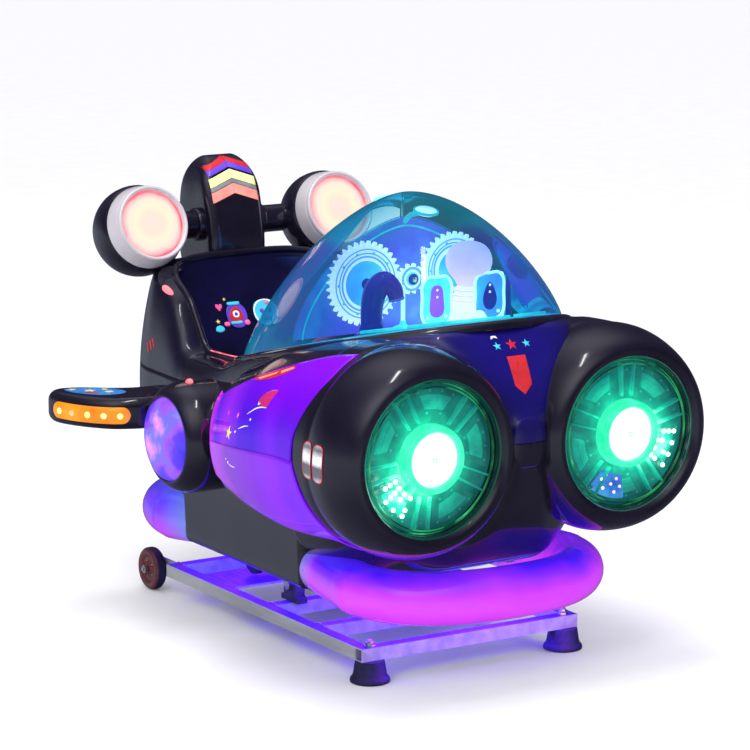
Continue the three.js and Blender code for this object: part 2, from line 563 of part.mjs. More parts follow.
function gears() {
  const { left, small, right } = GEAR_LIST;
  // A tooth of each large gear points at a gap of the small one.
  const toward = (a, b) => Math.atan2(b.z - a.z, b.x - a.x);
  const half = Math.PI / small.teeth;
  const fromLeft = toward(small, left);
  const smallPhase = fromLeft + half;
  const rightGap = Math.round((toward(small, right) - smallPhase) / (2 * half) - 0.5);
  const offset = toward(small, right) - (smallPhase + (2 * rightGap + 1) * half);
  add("gear_left", gearBody(left, toward(left, small)), GEAR_WHITE);
  add("gear_small", gearBody(small, smallPhase), GEAR_WHITE);
  const slip = (offset * small.teeth) / right.teeth;
  add("gear_right", gearBody(right, toward(right, small) + slip), GEAR_WHITE);
  const arch = [];
  for (let i = 0; i <= 16; i++) {
    const [c, q] = [Math.cos((i / 16) * Math.PI), Math.sin((i / 16) * Math.PI)];
    arch.push([Math.sign(c) * 292 * Math.abs(c) ** 1.25, 728 + 256 * q ** 1.25]);
  }
  const shape = new THREE.Shape(arch.map(([x, z]) => new THREE.Vector2(x, z)));
  const sheet = new THREE.ExtrudeGeometry(shape, { depth: 6, bevelEnabled: false });
  const plate = solid(sheet.rotateX(Math.PI / 2).translate(0, 290, 0));
  const pins = [left, small, right].map(({ x, z }) => rod([0, 1, 0], [x, 0, z], GEARS.pin, GEARS.y - 6, 286, 16));
  add("gear_backplate", joined([plate, ...pins]), CYAN);
}

// ---------- controls and electrics ----------

function controls() {
  const lean = THREE.MathUtils.degToRad(WHEEL_AXIS);
  const axis = [0, Math.cos(lean), Math.sin(lean)];
  const hub = [0, STEER.y, STEER.z];
  const rim = new THREE.TorusGeometry(STEER.r, 11, 6, 16);
  const flat = new THREE.Quaternion().setFromUnitVectors(new THREE.Vector3(0, 0, 1), new THREE.Vector3(...axis));
  const parts = [solid(rim.applyQuaternion(flat).translate(...hub))];
  const boss = [[12.3, -12], [26, -12], [32, 6], [28, 10], [17.5, 10], [17.5, -1], [12.3, -1], [12.3, -12]];
  parts.push(turned(boss, axis, hub, 12));
  for (const turn of [90, 210, 330]) {
    const spoke = new THREE.BoxGeometry(STEER.r - 24, 16, 8).translate((STEER.r + 24) / 2, 0, 0);
    spoke.rotateZ(THREE.MathUtils.degToRad(turn));
    parts.push(solid(spoke.applyQuaternion(flat).translate(...hub)));
  }
  add("steering_wheel", joined(parts), RED);
  const cap = [[0, 3], [17, 3], [17, 10], [14, 15], [0, 17]];
  add("horn_button", turned(cap, axis, hub, 12), AMBER);
  const column = [[0, -150], [20, -150], [20, -14], [12, -14], [12, -3], [0, -3]];
  const steer = turned(column, axis, hub, 12);
  add("steering_column", cut(steer, tubFront()), CAST);
  add("start_button", turned([[0, 4.6], [15, 4.6], [15, 9], [11, 13], [0, 14]], [0, 1, 0], [130, 500, 575], 16), RED);
  add("control_box", block([-90, 190, 240.5], [90, 310, 310]), CAST);
}

// The steering column is trimmed where it meets the front wall of the foot well.
const tubFront = () => block([-HUGE, -HUGE, -HUGE], [HUGE, 500 + GAP, HUGE]);

baseFrame();
drive();
hullFrame();
hullShells();
lights();
wings();
headrest();
dome();
gears();
controls();

export default ride;
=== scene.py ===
import json
import math
import random

import bmesh
import bpy
import numpy as np
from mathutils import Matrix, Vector
from mathutils.bvhtree import BVHTree

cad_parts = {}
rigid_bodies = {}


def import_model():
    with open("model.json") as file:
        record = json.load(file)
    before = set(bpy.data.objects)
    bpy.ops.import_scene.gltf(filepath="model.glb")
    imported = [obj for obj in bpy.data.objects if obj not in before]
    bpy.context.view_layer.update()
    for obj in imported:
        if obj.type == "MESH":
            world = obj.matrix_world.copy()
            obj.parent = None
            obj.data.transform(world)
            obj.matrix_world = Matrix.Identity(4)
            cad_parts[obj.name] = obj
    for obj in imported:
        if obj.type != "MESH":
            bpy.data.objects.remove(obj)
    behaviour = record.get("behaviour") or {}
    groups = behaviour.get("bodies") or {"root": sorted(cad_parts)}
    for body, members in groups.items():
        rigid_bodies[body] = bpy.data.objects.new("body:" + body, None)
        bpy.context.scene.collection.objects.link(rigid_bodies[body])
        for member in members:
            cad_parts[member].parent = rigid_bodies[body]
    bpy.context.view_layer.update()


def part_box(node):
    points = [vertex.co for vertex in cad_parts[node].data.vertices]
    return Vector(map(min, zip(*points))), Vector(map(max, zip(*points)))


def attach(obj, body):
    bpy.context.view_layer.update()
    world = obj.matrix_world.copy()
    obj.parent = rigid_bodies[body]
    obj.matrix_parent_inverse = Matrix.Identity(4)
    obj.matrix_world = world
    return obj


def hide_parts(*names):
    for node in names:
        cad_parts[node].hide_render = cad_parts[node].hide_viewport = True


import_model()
MIDDLE = 493  # the row frame's origin, from the front of the base frame, in millimetres
TAU = 2 * math.pi
SIDES = (("left", -1), ("right", 1))


def to_row(points):
    """Points in millimetres from the front of the base frame, as metres in the row frame."""
    p = np.asarray(points, float)
    return (p - np.array([0, MIDDLE, 0])) / 1000


# ---------- camera and studio ----------

scene = bpy.context.scene
scene.view_settings.view_transform = "Standard"
lens = bpy.data.cameras.new("camera")
lens.lens = 158.06
lens.sensor_width = 36
camera = bpy.data.objects.new("camera", lens)
camera.location = (-3.9576, -6.4605, 2.0426)
camera.rotation_euler = (math.radians(79.12), 0, math.radians(-31.81))
scene.collection.objects.link(camera)
scene.camera = camera


def softbox(name, at, aim, size, power, colour=(1, 1, 1)):
    light = bpy.data.lights.new(name, "AREA")
    light.shape = "RECTANGLE"
    light.size, light.size_y = size
    light.energy = power
    light.color = colour
    lamp = bpy.data.objects.new(name, light)
    lamp.location = at
    lamp.rotation_euler = (Vector(aim) - Vector(at)).to_track_quat("-Z", "Y").to_euler()
    scene.collection.objects.link(lamp)
    return lamp


FRAME_LIT = ("front_beam", "rear_beam", "front_crossbeam", "pivot_crossbeam", "motor_plate", "side_rail",
             "pillow", "gearbox", "motor", "rubber_foot", "foot_bolt", "hull_frame", "connecting_rod",
             "crank", "weld")


def studio():
    world = bpy.data.worlds.new("studio")
    world.use_nodes = True
    scene.world = world
    tree = world.node_tree
    tree.nodes.clear()
    lights, glossy, seen = [add(tree, "Background", colour, strength) for colour, strength in (
        ((.97, .97, 1, 1), 1.2), ((.08, .07, .17, 1), 1), ((1, 1, 1, 1), 1.1))]
    # what gloss shows: a grey floor on the left, a dark room, and two wide soft lights
    way = tree.nodes.new("ShaderNodeTexCoord").outputs["Generated"]
    split = add(tree, "SeparateXYZ", way)
    height = remap(tree, split.outputs["Z"], -1, 1)
    dark = ramp(tree, height,
                [(0, (.05, .05, .08)), (.40, (.09, .09, .13)), (.52, (.022, .02, .04)),
                 (1, (.035, .03, .06))])
    pale = ramp(tree, height,
                [(0, (.07, .07, .10)), (.16, (.14, .15, .20)), (.30, (.28, .30, .38)),
                 (.45, (.32, .36, .43)), (.53, (.12, .12, .18)), (.62, (.04, .04, .07)),
                 (1, (.05, .05, .08))])
    room = add(tree, "MixRGB", remap(tree, split.outputs["X"], .35, -.35), dark, pale).outputs[0]
    for aim, tight, power in (((-.45, -.40, .80), 9, .9), ((.1, .35, .93), 12, .5)):
        dot = add(tree, "VectorMath", way, Vector(aim).normalized(), operation="DOT_PRODUCT")
        falls = add(tree, "Math", remap(tree, dot.outputs["Value"], 0, 1), tight, operation="POWER")
        tint = ramp(tree, falls.outputs[0], [(0, (0, 0, 0)), (1, (power, power, power * 1.06))])
        room = add(tree, "MixRGB", 1, room, tint, blend_type="ADD").outputs[0]
    tree.links.new(room, glossy.inputs[0])
    path = tree.nodes.new("ShaderNodeLightPath")
    shown = lights.outputs[0]
    for ray, other in (("Is Glossy Ray", glossy), ("Is Camera Ray", seen)):
        shown = add(tree, "MixShader", path.outputs[ray], shown, other.outputs[0]).outputs[0]
    tree.links.new(shown, tree.nodes.new("ShaderNodeOutputWorld").inputs[0])
    softbox("overhead", (-.4, -.2, 3.6), (0, 0, 0), (1.3, 2.2), 60).visible_glossy = False
    softbox("left_box", (-3.4, -2.4, 2.8), (0, 0, .5), (1.3, 2.2), 48).visible_glossy = False
    softbox("right_box", (2.8, -3.0, 2.4), (0, 0, .5), (.7, 1.8), 22).visible_glossy = False
    softbox("overhead_strip", (-.5, -.6, 3.6), (0, 0, 0), (.16, 1.1), 7)
    softbox("left_strip", (-3.4, -2.4, 2.8), (0, 0, .5), (.14, 1.2), 6)
    # the blue and magenta that the rings and the hull's underside throw on the frame alone
    frame_parts = bpy.data.collections.new("frame_parts")
    for o in scene.collection.all_objects:
        if o.name.startswith(FRAME_LIT):
            frame_parts.objects.link(o)
    under, front, ahead = to_row((0, 430, 150)), to_row((0, -10, 140)), to_row((120, -330, 200))
    for lamp in (softbox("under_hull", under, under - (0, 0, 1), (.5, 1.0), 24, (.07, .01, 1)),
                 softbox("under_ring", front, front - (0, 0, 1), (.55, .12), 2.2, (.12, .02, 1)),
                 softbox("before_ring", ahead, to_row((60, 0, 75)), (.5, .1), 2.4, (.62, .16, 1))):
        lamp.light_linking.receiver_collection = frame_parts


# ---------- curves and meshes ----------

def pchip(xs, ys, x):
    """A smooth curve through the rows of a table that never overshoots them."""
    xs = np.asarray(xs, float)
    ys = np.asarray(ys, float)
    x = np.atleast_1d(np.asarray(x, float))
    if ys.ndim == 1:
        return pchip(xs, ys[:, None], x)[:, 0]
    h = np.diff(xs)[:, None]
    d = np.diff(ys, axis=0) / h
    m = np.zeros_like(ys)
    m[0], m[-1] = d[0], d[-1]
    for i in range(1, len(xs) - 1):
        a, b = d[i - 1], d[i]
        w1, w2 = 2 * h[i] + h[i - 1], h[i] + 2 * h[i - 1]
        same = a * b > 0
        a, b = np.where(same, a, 1), np.where(same, b, 1)
        m[i] = np.where(same, (w1 + w2) / (w1 / a + w2 / b), 0)
    k = np.clip(np.searchsorted(xs, x) - 1, 0, len(xs) - 2)
    t = ((x - xs[k]) / h[k, 0])[:, None]
    hk = h[k]
    return ((1 + 2 * t) * (1 - t) ** 2 * ys[k] + t * (1 - t) ** 2 * hk * m[k]
            + t * t * (3 - 2 * t) * ys[k + 1] + t * t * (t - 1) * hk * m[k + 1])


def spline(points, count, closed=False):
    """count points evenly along a Catmull-Rom curve through the given ones."""
    p = np.asarray(points, float)
    n = len(p)
    spans = n if closed else n - 1
    dense = []
    for i in range(spans):
        if closed:
            a, b, c, d = p[(i - 1) % n], p[i], p[(i + 1) % n], p[(i + 2) % n]
        else:
            a, b, c, d = p[max(i - 1, 0)], p[i], p[i + 1], p[min(i + 2, n - 1)]
        for t in np.arange(24) / 24:
            dense.append(.5 * (2 * b + (c - a) * t + (2 * a - 5 * b + 4 * c - d) * t * t
                               + (3 * b - a - 3 * c + d) * t ** 3))
    dense.append(p[0] if closed else p[-1])
    return even(np.array(dense), count, closed)


def even(dense, count, closed=False):
    length = np.concatenate([[0], np.cumsum(np.linalg.norm(np.diff(dense, axis=0), axis=1))])
    at = np.linspace(0, length[-1], count + 1)[:-1] if closed else np.linspace(0, length[-1], count)
    return np.stack([np.interp(at, length, dense[:, k]) for k in range(dense.shape[1])], 1)


def b_spline(polygon, per=10):
    """A closed uniform cubic B-spline inside a polygon: it rounds every corner."""
    p = np.asarray(polygon, float)
    n = len(p)
    out = []
    for i in range(n):
        a, b, c, d = p[i - 1], p[i], p[(i + 1) % n], p[(i + 2) % n]
        for t in np.arange(per) / per:
            out.append(((1 - t) ** 3 * a + (3 * t ** 3 - 6 * t * t + 4) * b
                        + (-3 * t ** 3 + 3 * t * t + 3 * t + 1) * c + t ** 3 * d) / 6)
    return np.array(out)


def piece(name, points, faces, materials, body="hull", slot=None, stands_for=(), indices=None,
          angle=None):
    """A mesh from points in millimetres, riding on a body."""
    mesh = bpy.data.meshes.new(name)
    mesh.from_pydata([tuple(p) for p in to_row(points)], [], [tuple(f) for f in faces])
    mesh.validate()
    if not isinstance(materials, (list, tuple)):
        materials = [materials]
    for m in materials:
        mesh.materials.append(m)
    if indices is not None:
        mesh.polygons.foreach_set("material_index", np.asarray(indices, np.int32))
    made = bmesh.new()
    made.from_mesh(mesh)
    bmesh.ops.remove_doubles(made, verts=made.verts, dist=2e-6)
    bmesh.ops.recalc_face_normals(made, faces=made.faces)
    made.to_mesh(mesh)
    made.free()
    mesh.polygons.foreach_set("use_smooth", [True] * len(mesh.polygons))
    if angle:
        mesh.set_sharp_from_angle(angle=math.radians(angle))
    o = bpy.data.objects.new(name, mesh)
    scene.collection.objects.link(o)
    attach(o, body)
    if stands_for:
        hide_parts(*stands_for)
    return o


def grid_faces(rows, columns, wrap=False, closed=False):
    faces = []
    for i in range(rows if closed else rows - 1):
        for j in range(columns if wrap else columns - 1):
            a, b = i * columns + j, i * columns + (j + 1) % columns
            k = ((i + 1) % rows) * columns
            faces.append((a, b, k + (j + 1) % columns, k + j))
    return faces


def sheet_piece(name, grid, materials, wrap=False, closed=False, **more):
    """A surface through a grid of points."""
    rows, columns = grid.shape[:2]
    return piece(name, grid.reshape(-1, 3), grid_faces(rows, columns, wrap, closed), materials, **more)


def solidify(o, thick, offset=-1):
    m = o.modifiers.new("thickness", "SOLIDIFY")
    m.thickness = thick / 1000
    m.offset = offset


def box_mm(name):
    """A CAD node's lowest and highest corners, in millimetres from the front of the base frame."""
    low, high = (np.array(v) * 1000 + (0, MIDDLE, 0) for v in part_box(name))
    return low, high


def circle(centre, r, u, v, count):
    """count points round a circle in the plane of u and v."""
    u, v = np.array(u, float), np.array(v, float)
    return [centre + r * (math.cos(t) * u + math.sin(t) * v) for t in np.arange(count) / count * TAU]


def fan(points):
    """(radius, degrees) pairs as flat points about a centre."""
    return [(r * math.cos(math.radians(d)), r * math.sin(math.radians(d))) for r, d in points]


def axis_frame(axis):
    w = Vector(axis).normalized()
    side = Vector((0, 0, 1)) if abs(w.z) < .9 else Vector((0, 1, 0))
    u = side.cross(w).normalized()
    return np.array(u), np.array(w.cross(u)), np.array(w)


def lathe(name, profile, axis, at, materials, sides=96, indices=None, **more):
    """A profile of (radius, height) turned about an axis. indices gives each profile span's material."""
    u, v, w = axis_frame(axis)
    profile = np.asarray(profile, float)
    turn = np.arange(sides) / sides * TAU
    ring = np.cos(turn)[:, None] * u + np.sin(turn)[:, None] * v
    points = np.asarray(at, float) + profile[:, None, :1] * ring[None] + profile[:, None, 1:] * w
    faces = grid_faces(len(profile), sides, wrap=True)
    if indices is not None:
        indices = np.repeat(indices, sides)
    return piece(name, points.reshape(-1, 3), faces, materials, indices=indices, **more)


def round_profile(points, per=6):
    """A profile whose inner corners are softened."""
    return spline(points, len(points) * per)


def sweep(path, r, sides=24, closed=False, squash=1.0, up=(0, 0, 1)):
    """A grid of points round a path: an ellipse r wide and r * squash high, standing on up."""
    path = np.asarray(path, float)
    r = np.broadcast_to(r, len(path))
    if closed:
        along = np.roll(path, -1, 0) - np.roll(path, 1, 0)
    else:
        along = np.gradient(path, axis=0)
    along /= np.linalg.norm(along, axis=1)[:, None]
    side = np.cross(along, np.asarray(up, float))
    side /= np.maximum(np.linalg.norm(side, axis=1), 1e-9)[:, None]
    top = np.cross(side, along)
    turn = np.arange(sides) / sides * TAU
    return (path[:, None] + r[:, None, None] * (np.cos(turn)[None, :, None] * side[:, None]
            + squash * np.sin(turn)[None, :, None] * top[:, None]))


def rope(name, path, r, material, sides=16, closed=False, squash=1.0, up=(0, 0, 1), **more):
    """A tube along a path, with rounded ends."""
    path = np.asarray(path, float)
    radius = np.full(len(path), float(r))
    if not closed:
        first, last = path[0] - path[1], path[-1] - path[-2]
        first, last = first / np.linalg.norm(first), last / np.linalg.norm(last)
        cap = [(math.sin(a), math.cos(a)) for a in np.linspace(.02, math.pi / 2, 6)]
        head = [path[0] + first * r * c for s, c in cap][:-1]
        tail = [path[-1] + last * r * c for s, c in cap[::-1]][1:]
        path = np.concatenate([head, path, tail])
        radius = np.concatenate([[r * s for s, c in cap][:-1], radius, [r * s for s, c in cap[::-1]][1:]])
    grid = sweep(path, radius, sides, closed, squash, up)
    return sheet_piece(name, grid, material, wrap=True, closed=closed, **more)


def slab(name, outline, origin, u, v, depth, material, bevel=0, segments=3, **more):
    """A flat outline in the plane of u and v, given depth along their normal, with rounded edges."""
    u, v = np.array(u, float), np.array(v, float)
    n = np.cross(u, v)
    flat = np.asarray(outline, float)
    low = np.asarray(origin, float) + flat[:, :1] * u + flat[:, 1:] * v
    count = len(flat)
    points = np.concatenate([low, low + n * depth])
    faces = [tuple(range(count))[::-1], tuple(range(count, 2 * count))]
    faces += [(i, (i + 1) % count, count + (i + 1) % count, count + i) for i in range(count)]
    o = piece(name, points, faces, material, **more)
    if bevel:
        m = o.modifiers.new("bevel", "BEVEL")
        m.width = bevel / 1000
        m.segments = segments
        m.limit_method = "ANGLE"
        m.angle_limit = math.radians(50)
        m.harden_normals = False
    o.data.set_sharp_from_angle(angle=math.radians(35))
    return o


def rounded(outline, r, per=5):
    """An outline with its corners rounded to r."""
    p = np.asarray(outline, float)
    out = []
    for i in range(len(p)):
        a, b, c = p[i - 1], p[i], p[(i + 1) % len(p)]
        u, v = a - b, c - b
        k = min(r, np.linalg.norm(u) * .48, np.linalg.norm(v) * .48)
        s, e = b + u / np.linalg.norm(u) * k, b + v / np.linalg.norm(v) * k
        for t in np.linspace(0, 1, per):
            out.append((1 - t) ** 2 * s + 2 * t * (1 - t) * b + t * t * e)
    return np.array(out)


def tree_of(o):
    """A search tree over a piece's finished mesh."""
    shown = o.evaluated_get(bpy.context.evaluated_depsgraph_get())
    mesh = shown.to_mesh()
    points = [shown.matrix_world @ v.co for v in mesh.vertices]
    faces = [list(p.vertices) for p in mesh.polygons]
    shown.to_mesh_clear()
    return BVHTree.FromPolygons(points, faces)


def refine(made, fine):
    """Triangles with no edge much longer than fine."""
    bmesh.ops.triangulate(made, faces=made.faces)
    for _ in range(6):
        long = [e for e in made.edges if e.calc_length() > fine]
        if not long:
            break
        bmesh.ops.subdivide_edges(made, edges=long, cuts=1)
        bmesh.ops.triangulate(made, faces=made.faces)


DRAPE_FROM = 400  # how far before a surface a film's rays start, in millimetres


def drape(name, outlines, origin, u, v, onto, material, lift=.7, thick=.5, fine=6):
    """Flat outlines laid as thin film on a surface, looking along minus u cross v."""
    u, v = Vector(u).normalized(), Vector(v).normalized()
    n = u.cross(v)
    made = bmesh.new()
    for outline in outlines:
        made.faces.new([made.verts.new(Vector(origin) + u * a + v * b) for a, b in outline])
    refine(made, fine)
    for vert in made.verts:
        start = Vector(to_row(vert.co + n * DRAPE_FROM))
        hit, _, _, _ = onto.ray_cast(start, -n, DRAPE_FROM * 2 / 1000)
        if hit:
            vert.co = hit + n * (lift / 1000)
        else:
            vert.tag = True
            vert.co = Vector(to_row(vert.co))
    bmesh.ops.delete(made, geom=[x for x in made.verts if x.tag], context="VERTS")
    mesh = bpy.data.meshes.new(name)
    bmesh.ops.recalc_face_normals(made, faces=made.faces)
    if sum((f.normal.dot(n) for f in made.faces), 0) < 0:
        bmesh.ops.reverse_faces(made, faces=made.faces)
    made.to_mesh(mesh)
    made.free()
    mesh.materials.append(material)
    mesh.polygons.foreach_set("use_smooth", [True] * len(mesh.polygons))
    o = bpy.data.objects.new(name, mesh)
    scene.collection.objects.link(o)
    solidify(o, thick)
    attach(o, "hull")


# ---------- materials ----------

def nodes_of(name):
    m = bpy.data.materials.new(name)
    m.use_nodes = True
    tree = m.node_tree
    return m, tree, tree.nodes["Principled BSDF"], tree.nodes["Material Output"]


def add(tree, kind, *inputs, **settings):
    """A node and its inputs in order: an output is linked, a value is set, and None is left alone."""
    node = tree.nodes.new("ShaderNode" + kind)
    for name, value in settings.items():
        setattr(node, name, value)
    for socket, value in zip(node.inputs, inputs):
        if isinstance(value, bpy.types.NodeSocket):
            tree.links.new(value, socket)
        elif value is not None:
            socket.default_value = value
    return node


def position(tree):
    return tree.nodes.new("ShaderNodeTexCoord").outputs["Object"]


def noise(tree, scale, detail=3, stretch=None):
    at = position(tree)
    if stretch:
        at = add(tree, "Mapping", at, None, None, stretch).outputs[0]
    return add(tree, "TexNoise", at, None, scale, detail).outputs["Fac"]


def ramp(tree, value, stops):
    r = tree.nodes.new("ShaderNodeValToRGB")
    tree.links.new(value, r.inputs[0])
    while len(r.color_ramp.elements) < len(stops):
        r.color_ramp.elements.new(.5)
    for e, (at, colour) in zip(r.color_ramp.elements, stops):
        e.position = at
        e.color = (*colour, 1)
    return r.outputs[0]


def remap(tree, value, low, high, to_low=0.0, to_high=1.0):
    return add(tree, "MapRange", value, low, high, to_low, to_high).outputs[0]


def along(tree, direction, origin=(0, 0, 0)):
    """How far a point lies along a direction, in metres."""
    shift = add(tree, "VectorMath", position(tree), origin, operation="SUBTRACT")
    return add(tree, "VectorMath", shift.outputs[0], direction, operation="DOT_PRODUCT").outputs["Value"]


def distance(tree, point, squash=(1, 1, 1)):
    """How far a point lies from another, in metres."""
    away = add(tree, "VectorMath", position(tree), point, operation="SUBTRACT")
    scaled = add(tree, "VectorMath", away.outputs[0], squash, operation="MULTIPLY")
    return add(tree, "VectorMath", scaled.outputs[0], operation="LENGTH").outputs["Value"]


def total(tree, a, b, share=1.0):
    """a plus b times share."""
    return add(tree, "Math", b, share, a, operation="MULTIPLY_ADD").outputs[0]


def cloudy(tree, value, scale, detail, share):
    """A value moved up and down by soft noise."""
    return total(tree, value, remap(tree, noise(tree, scale, detail), .3, .7, -.5, .5), share)


def varnish(shade, weight, rough=.03):
    shade.inputs["Coat Weight"].default_value = weight
    shade.inputs["Coat Roughness"].default_value = rough


def shine_out(tree, shade, colour, strength, share):
    """A colour as the surface's own light, with a share of it as the surface's colour."""
    tree.links.new(colour, shade.inputs["Emission Color"])
    shade.inputs["Emission Strength"].default_value = strength
    dim = add(tree, "MixRGB", 1, colour, (share, share, share, 1), blend_type="MULTIPLY")
    tree.links.new(dim.outputs[0], shade.inputs["Base Color"])


def gloss_over(tree, under, out, colour, rough, ior):
    """Clear gloss over a shader, stronger where it is seen edge on. rough is its lowest and highest."""
    gloss = add(tree, "BsdfGlossy", colour, remap(tree, noise(tree, 9, 2), .3, .7, *rough))
    edge_on = add(tree, "Fresnel", ior)
    mix = add(tree, "MixShader", edge_on.outputs[0], under, gloss.outputs[0])
    tree.links.new(mix.outputs[0], out.inputs[0])


def finish_surface(tree, shade, rough, spread=.04, bump=0.0, scale=60.0, stretch=None):
    """Roughness that varies a little, and a fine relief."""
    varied = remap(tree, noise(tree, scale * .4, 4, stretch), .3, .7, max(rough - spread, .01),
                   rough + spread)
    tree.links.new(varied, shade.inputs["Roughness"])
    if bump:
        b = tree.nodes.new("ShaderNodeBump")
        b.inputs["Strength"].default_value = bump
        b.inputs["Distance"].default_value = .001
        tree.links.new(noise(tree, scale, 3, stretch), b.inputs["Height"])
        tree.links.new(b.outputs[0], shade.inputs["Normal"])


def paint(name, dark, light, rough=.3, metal=0.0, coat=0.0, spread=.05, bump=.0, scale=60.0, glow=0.0,
          specular=.5):
    """A moulded or painted surface: two close shades in slow patches."""
    m, tree, shade, _ = nodes_of(name)
    colour = ramp(tree, noise(tree, scale * .15, 4), [(.35, dark), (.65, light)])
    tree.links.new(colour, shade.inputs["Base Color"])
    shade.inputs["Metallic"].default_value = metal
    shade.inputs["Specular IOR Level"].default_value = specular
    varnish(shade, coat)
    # glow is painted light: the surface shines faintly in its own colour, though it is no lamp
    if glow:
        tree.links.new(colour, shade.inputs["Emission Color"])
        shade.inputs["Emission Strength"].default_value = glow
    finish_surface(tree, shade, rough, spread, bump, scale)
    return m


def zinc():
    """Galvanised tube. The faces that look up at the lit hull carry painted light: a darker deep blue
    colour and a blue glow stand in for the light the rings and hull throw on them.
    """
    m, tree, shade, _ = nodes_of("zinc_tube")
    along_tube = (1, .12, 1)
    side = ramp(tree, noise(tree, 33, 4, along_tube), [(.35, (.34, .35, .38)), (.65, (.50, .51, .54))])
    split = add(tree, "SeparateXYZ", tree.nodes.new("ShaderNodeNewGeometry").outputs["Normal"])
    up = remap(tree, split.outputs["Z"], .5, .9)
    # painted light: up-facing faces get a dark blue colour and a blue glow, standing in for the rings'
    # light
    for socket, low, top in (("Base Color", side, ((.05, .035, .14), (.08, .05, .22))),
                             ("Emission Color", (0, 0, 0, 1), ((.03, 0, .55), (.13, .01, .8)))):
        painted_blue_light = ramp(tree, noise(tree, 7, 3), [(.4, top[0]), (.65, top[1])])
        tree.links.new(add(tree, "MixRGB", up, low, painted_blue_light).outputs[0], shade.inputs[socket])
    shade.inputs["Emission Strength"].default_value = .45
    shade.inputs["Metallic"].default_value = .5
    finish_surface(tree, shade, .42, .09, .12, 220, along_tube)
    return m


def lit(name, patches, stops, strength, rough=.25):
    """A moulding that shines in its own colours: lit from inside, and on the headlamp rims a painted
    highlight. patches gives its noise's scale and detail.
    """
    m, tree, shade, _ = nodes_of(name)
    shine_out(tree, shade, ramp(tree, noise(tree, *patches), stops), strength, .35)
    varnish(shade, .6, .04)
    finish_surface(tree, shade, rough, .05)
    return m


def clear(name, face, edge, rough=.03, blend=.35):
    """A thin clear sheet: tinted more where it is seen edge on, with gloss over it."""
    m, tree, shade, out = nodes_of(name)
    tree.nodes.remove(shade)
    weight = add(tree, "LayerWeight", blend)
    tint = ramp(tree, weight.outputs["Facing"], [(.15, face), (.95, edge)])
    film_node = add(tree, "BsdfTransparent", tint)
    gloss_over(tree, film_node.outputs[0], out, (1, 1, 1, 1), (rough * .6, rough * 1.5), 1.45)
    return m


# ---------- colours ----------

BLACK = paint("gloss_black", (.004, .0035, .009), (.008, .006, .016), rough=.16, coat=1, spread=.03,
              bump=.04, scale=50)
NAVY = paint("seat_navy", (.0015, .0015, .018), (.003, .002, .035), rough=.2, coat=.8, spread=.04,
             bump=.04, scale=50)
ZINC = zinc()
BRIGHT = paint("bright_zinc", (.62, .62, .64), (.8, .8, .8), rough=.22, metal=1, spread=.07, bump=.06,
               scale=300)
CAST = paint("dark_casting", (.03, .032, .036), (.06, .06, .066), rough=.55, metal=.5, spread=.1,
             bump=.3, scale=260)
# dark rubber tinted navy by painted light: the blue the rings throw on the feet and tyres, mixed into its
# colour
RUBBER = paint("rubber", (.005, .003, .035), (.009, .005, .06), rough=.62, spread=.1, bump=.25, scale=300)
MAROON = paint("wheel_core", (.075, .014, .016), (.12, .022, .026), rough=.35, coat=.4, spread=.08,
               bump=.1, scale=200)
PEARL = paint("pearl_ring", (.60, .56, .60), (.70, .66, .70), rough=.32, metal=.3, coat=.5, spread=.01,
              bump=.01, scale=30)
RED = paint("red_plastic", (.36, .012, .018), (.46, .02, .025), rough=.3, coat=.6, bump=.05)
FILM = dict(rough=.3, coat=.5, bump=.02, scale=120)
# every film glows faintly in its own colour: painted light, as the films are no lamps
STICKER = {
    "red": paint("film_red", (.42, .008, .016), (.52, .014, .024), glow=.08, **FILM),
    "cyan": paint("film_cyan", (.03, .45, .62), (.06, .58, .75), glow=.15, **FILM),
    "yellow": paint("film_yellow", (.78, .66, .12), (.88, .78, .22), glow=.12, **FILM),
    "pale": paint("film_pale_yellow", (.74, .80, .28), (.82, .88, .38), glow=.12, **FILM),
    "salmon": paint("film_salmon", (.85, .20, .16), (.92, .30, .24), glow=.12, **FILM),
    "violet": paint("film_violet", (.07, .03, .42), (.12, .05, .55), glow=.15, **FILM),
    "grey": paint("film_grey", (.16, .17, .2), (.28, .29, .33), **FILM),
    "white": paint("film_white", (.72, .74, .8), (.85, .87, .92), glow=.2, **FILM),
    "blue": paint("film_blue", (.02, .16, .5), (.04, .24, .62), glow=.15, **FILM),
    "pink": paint("film_pink", (.8, .08, .3), (.9, .14, .4), glow=.15, **FILM),
    "crimson": paint("film_crimson", (.42, .008, .11), (.52, .012, .16), glow=.2, **FILM),
}
NEON = lit("red_neon", (30, 1), [(.3, (.95, .05, .09)), (.7, (1, .25, .28))], 1.1)
FLOOR = paint("studio_floor", (.86, .86, .87), (.88, .88, .89), rough=.7, spread=.03, specular=.1)
WHITE_GLOW = lit("white_glow", (20, 1), [(.3, (.8, 1, .95)), (.7, (1, 1, 1))], 1.6)


def hull_black():
    """The hull's black, with painted blue light on the nose between the lamps: navy where the lit dome
    shines on it, fading to black.
    """
    m, tree, shade, _ = nodes_of("hull_black")
    # painted light: navy near the nose top in front of the dome, fading to black further away
    value = remap(tree, distance(tree, to_row((0, -150, 730)), (.8, 1, 1)), .05, .46)
    value = cloudy(tree, value, 6, 3, .2)
    colour = ramp(tree, value,
                  [(0, (.006, .003, .13)), (.45, (.006, .004, .055)), (1, (.005, .0045, .011))])
    tree.links.new(colour, shade.inputs["Base Color"])
    varnish(shade, 1)
    finish_surface(tree, shade, .16, .03, .04, 50)
    return m


HULL_BLACK = hull_black()


# ---------- hull ----------

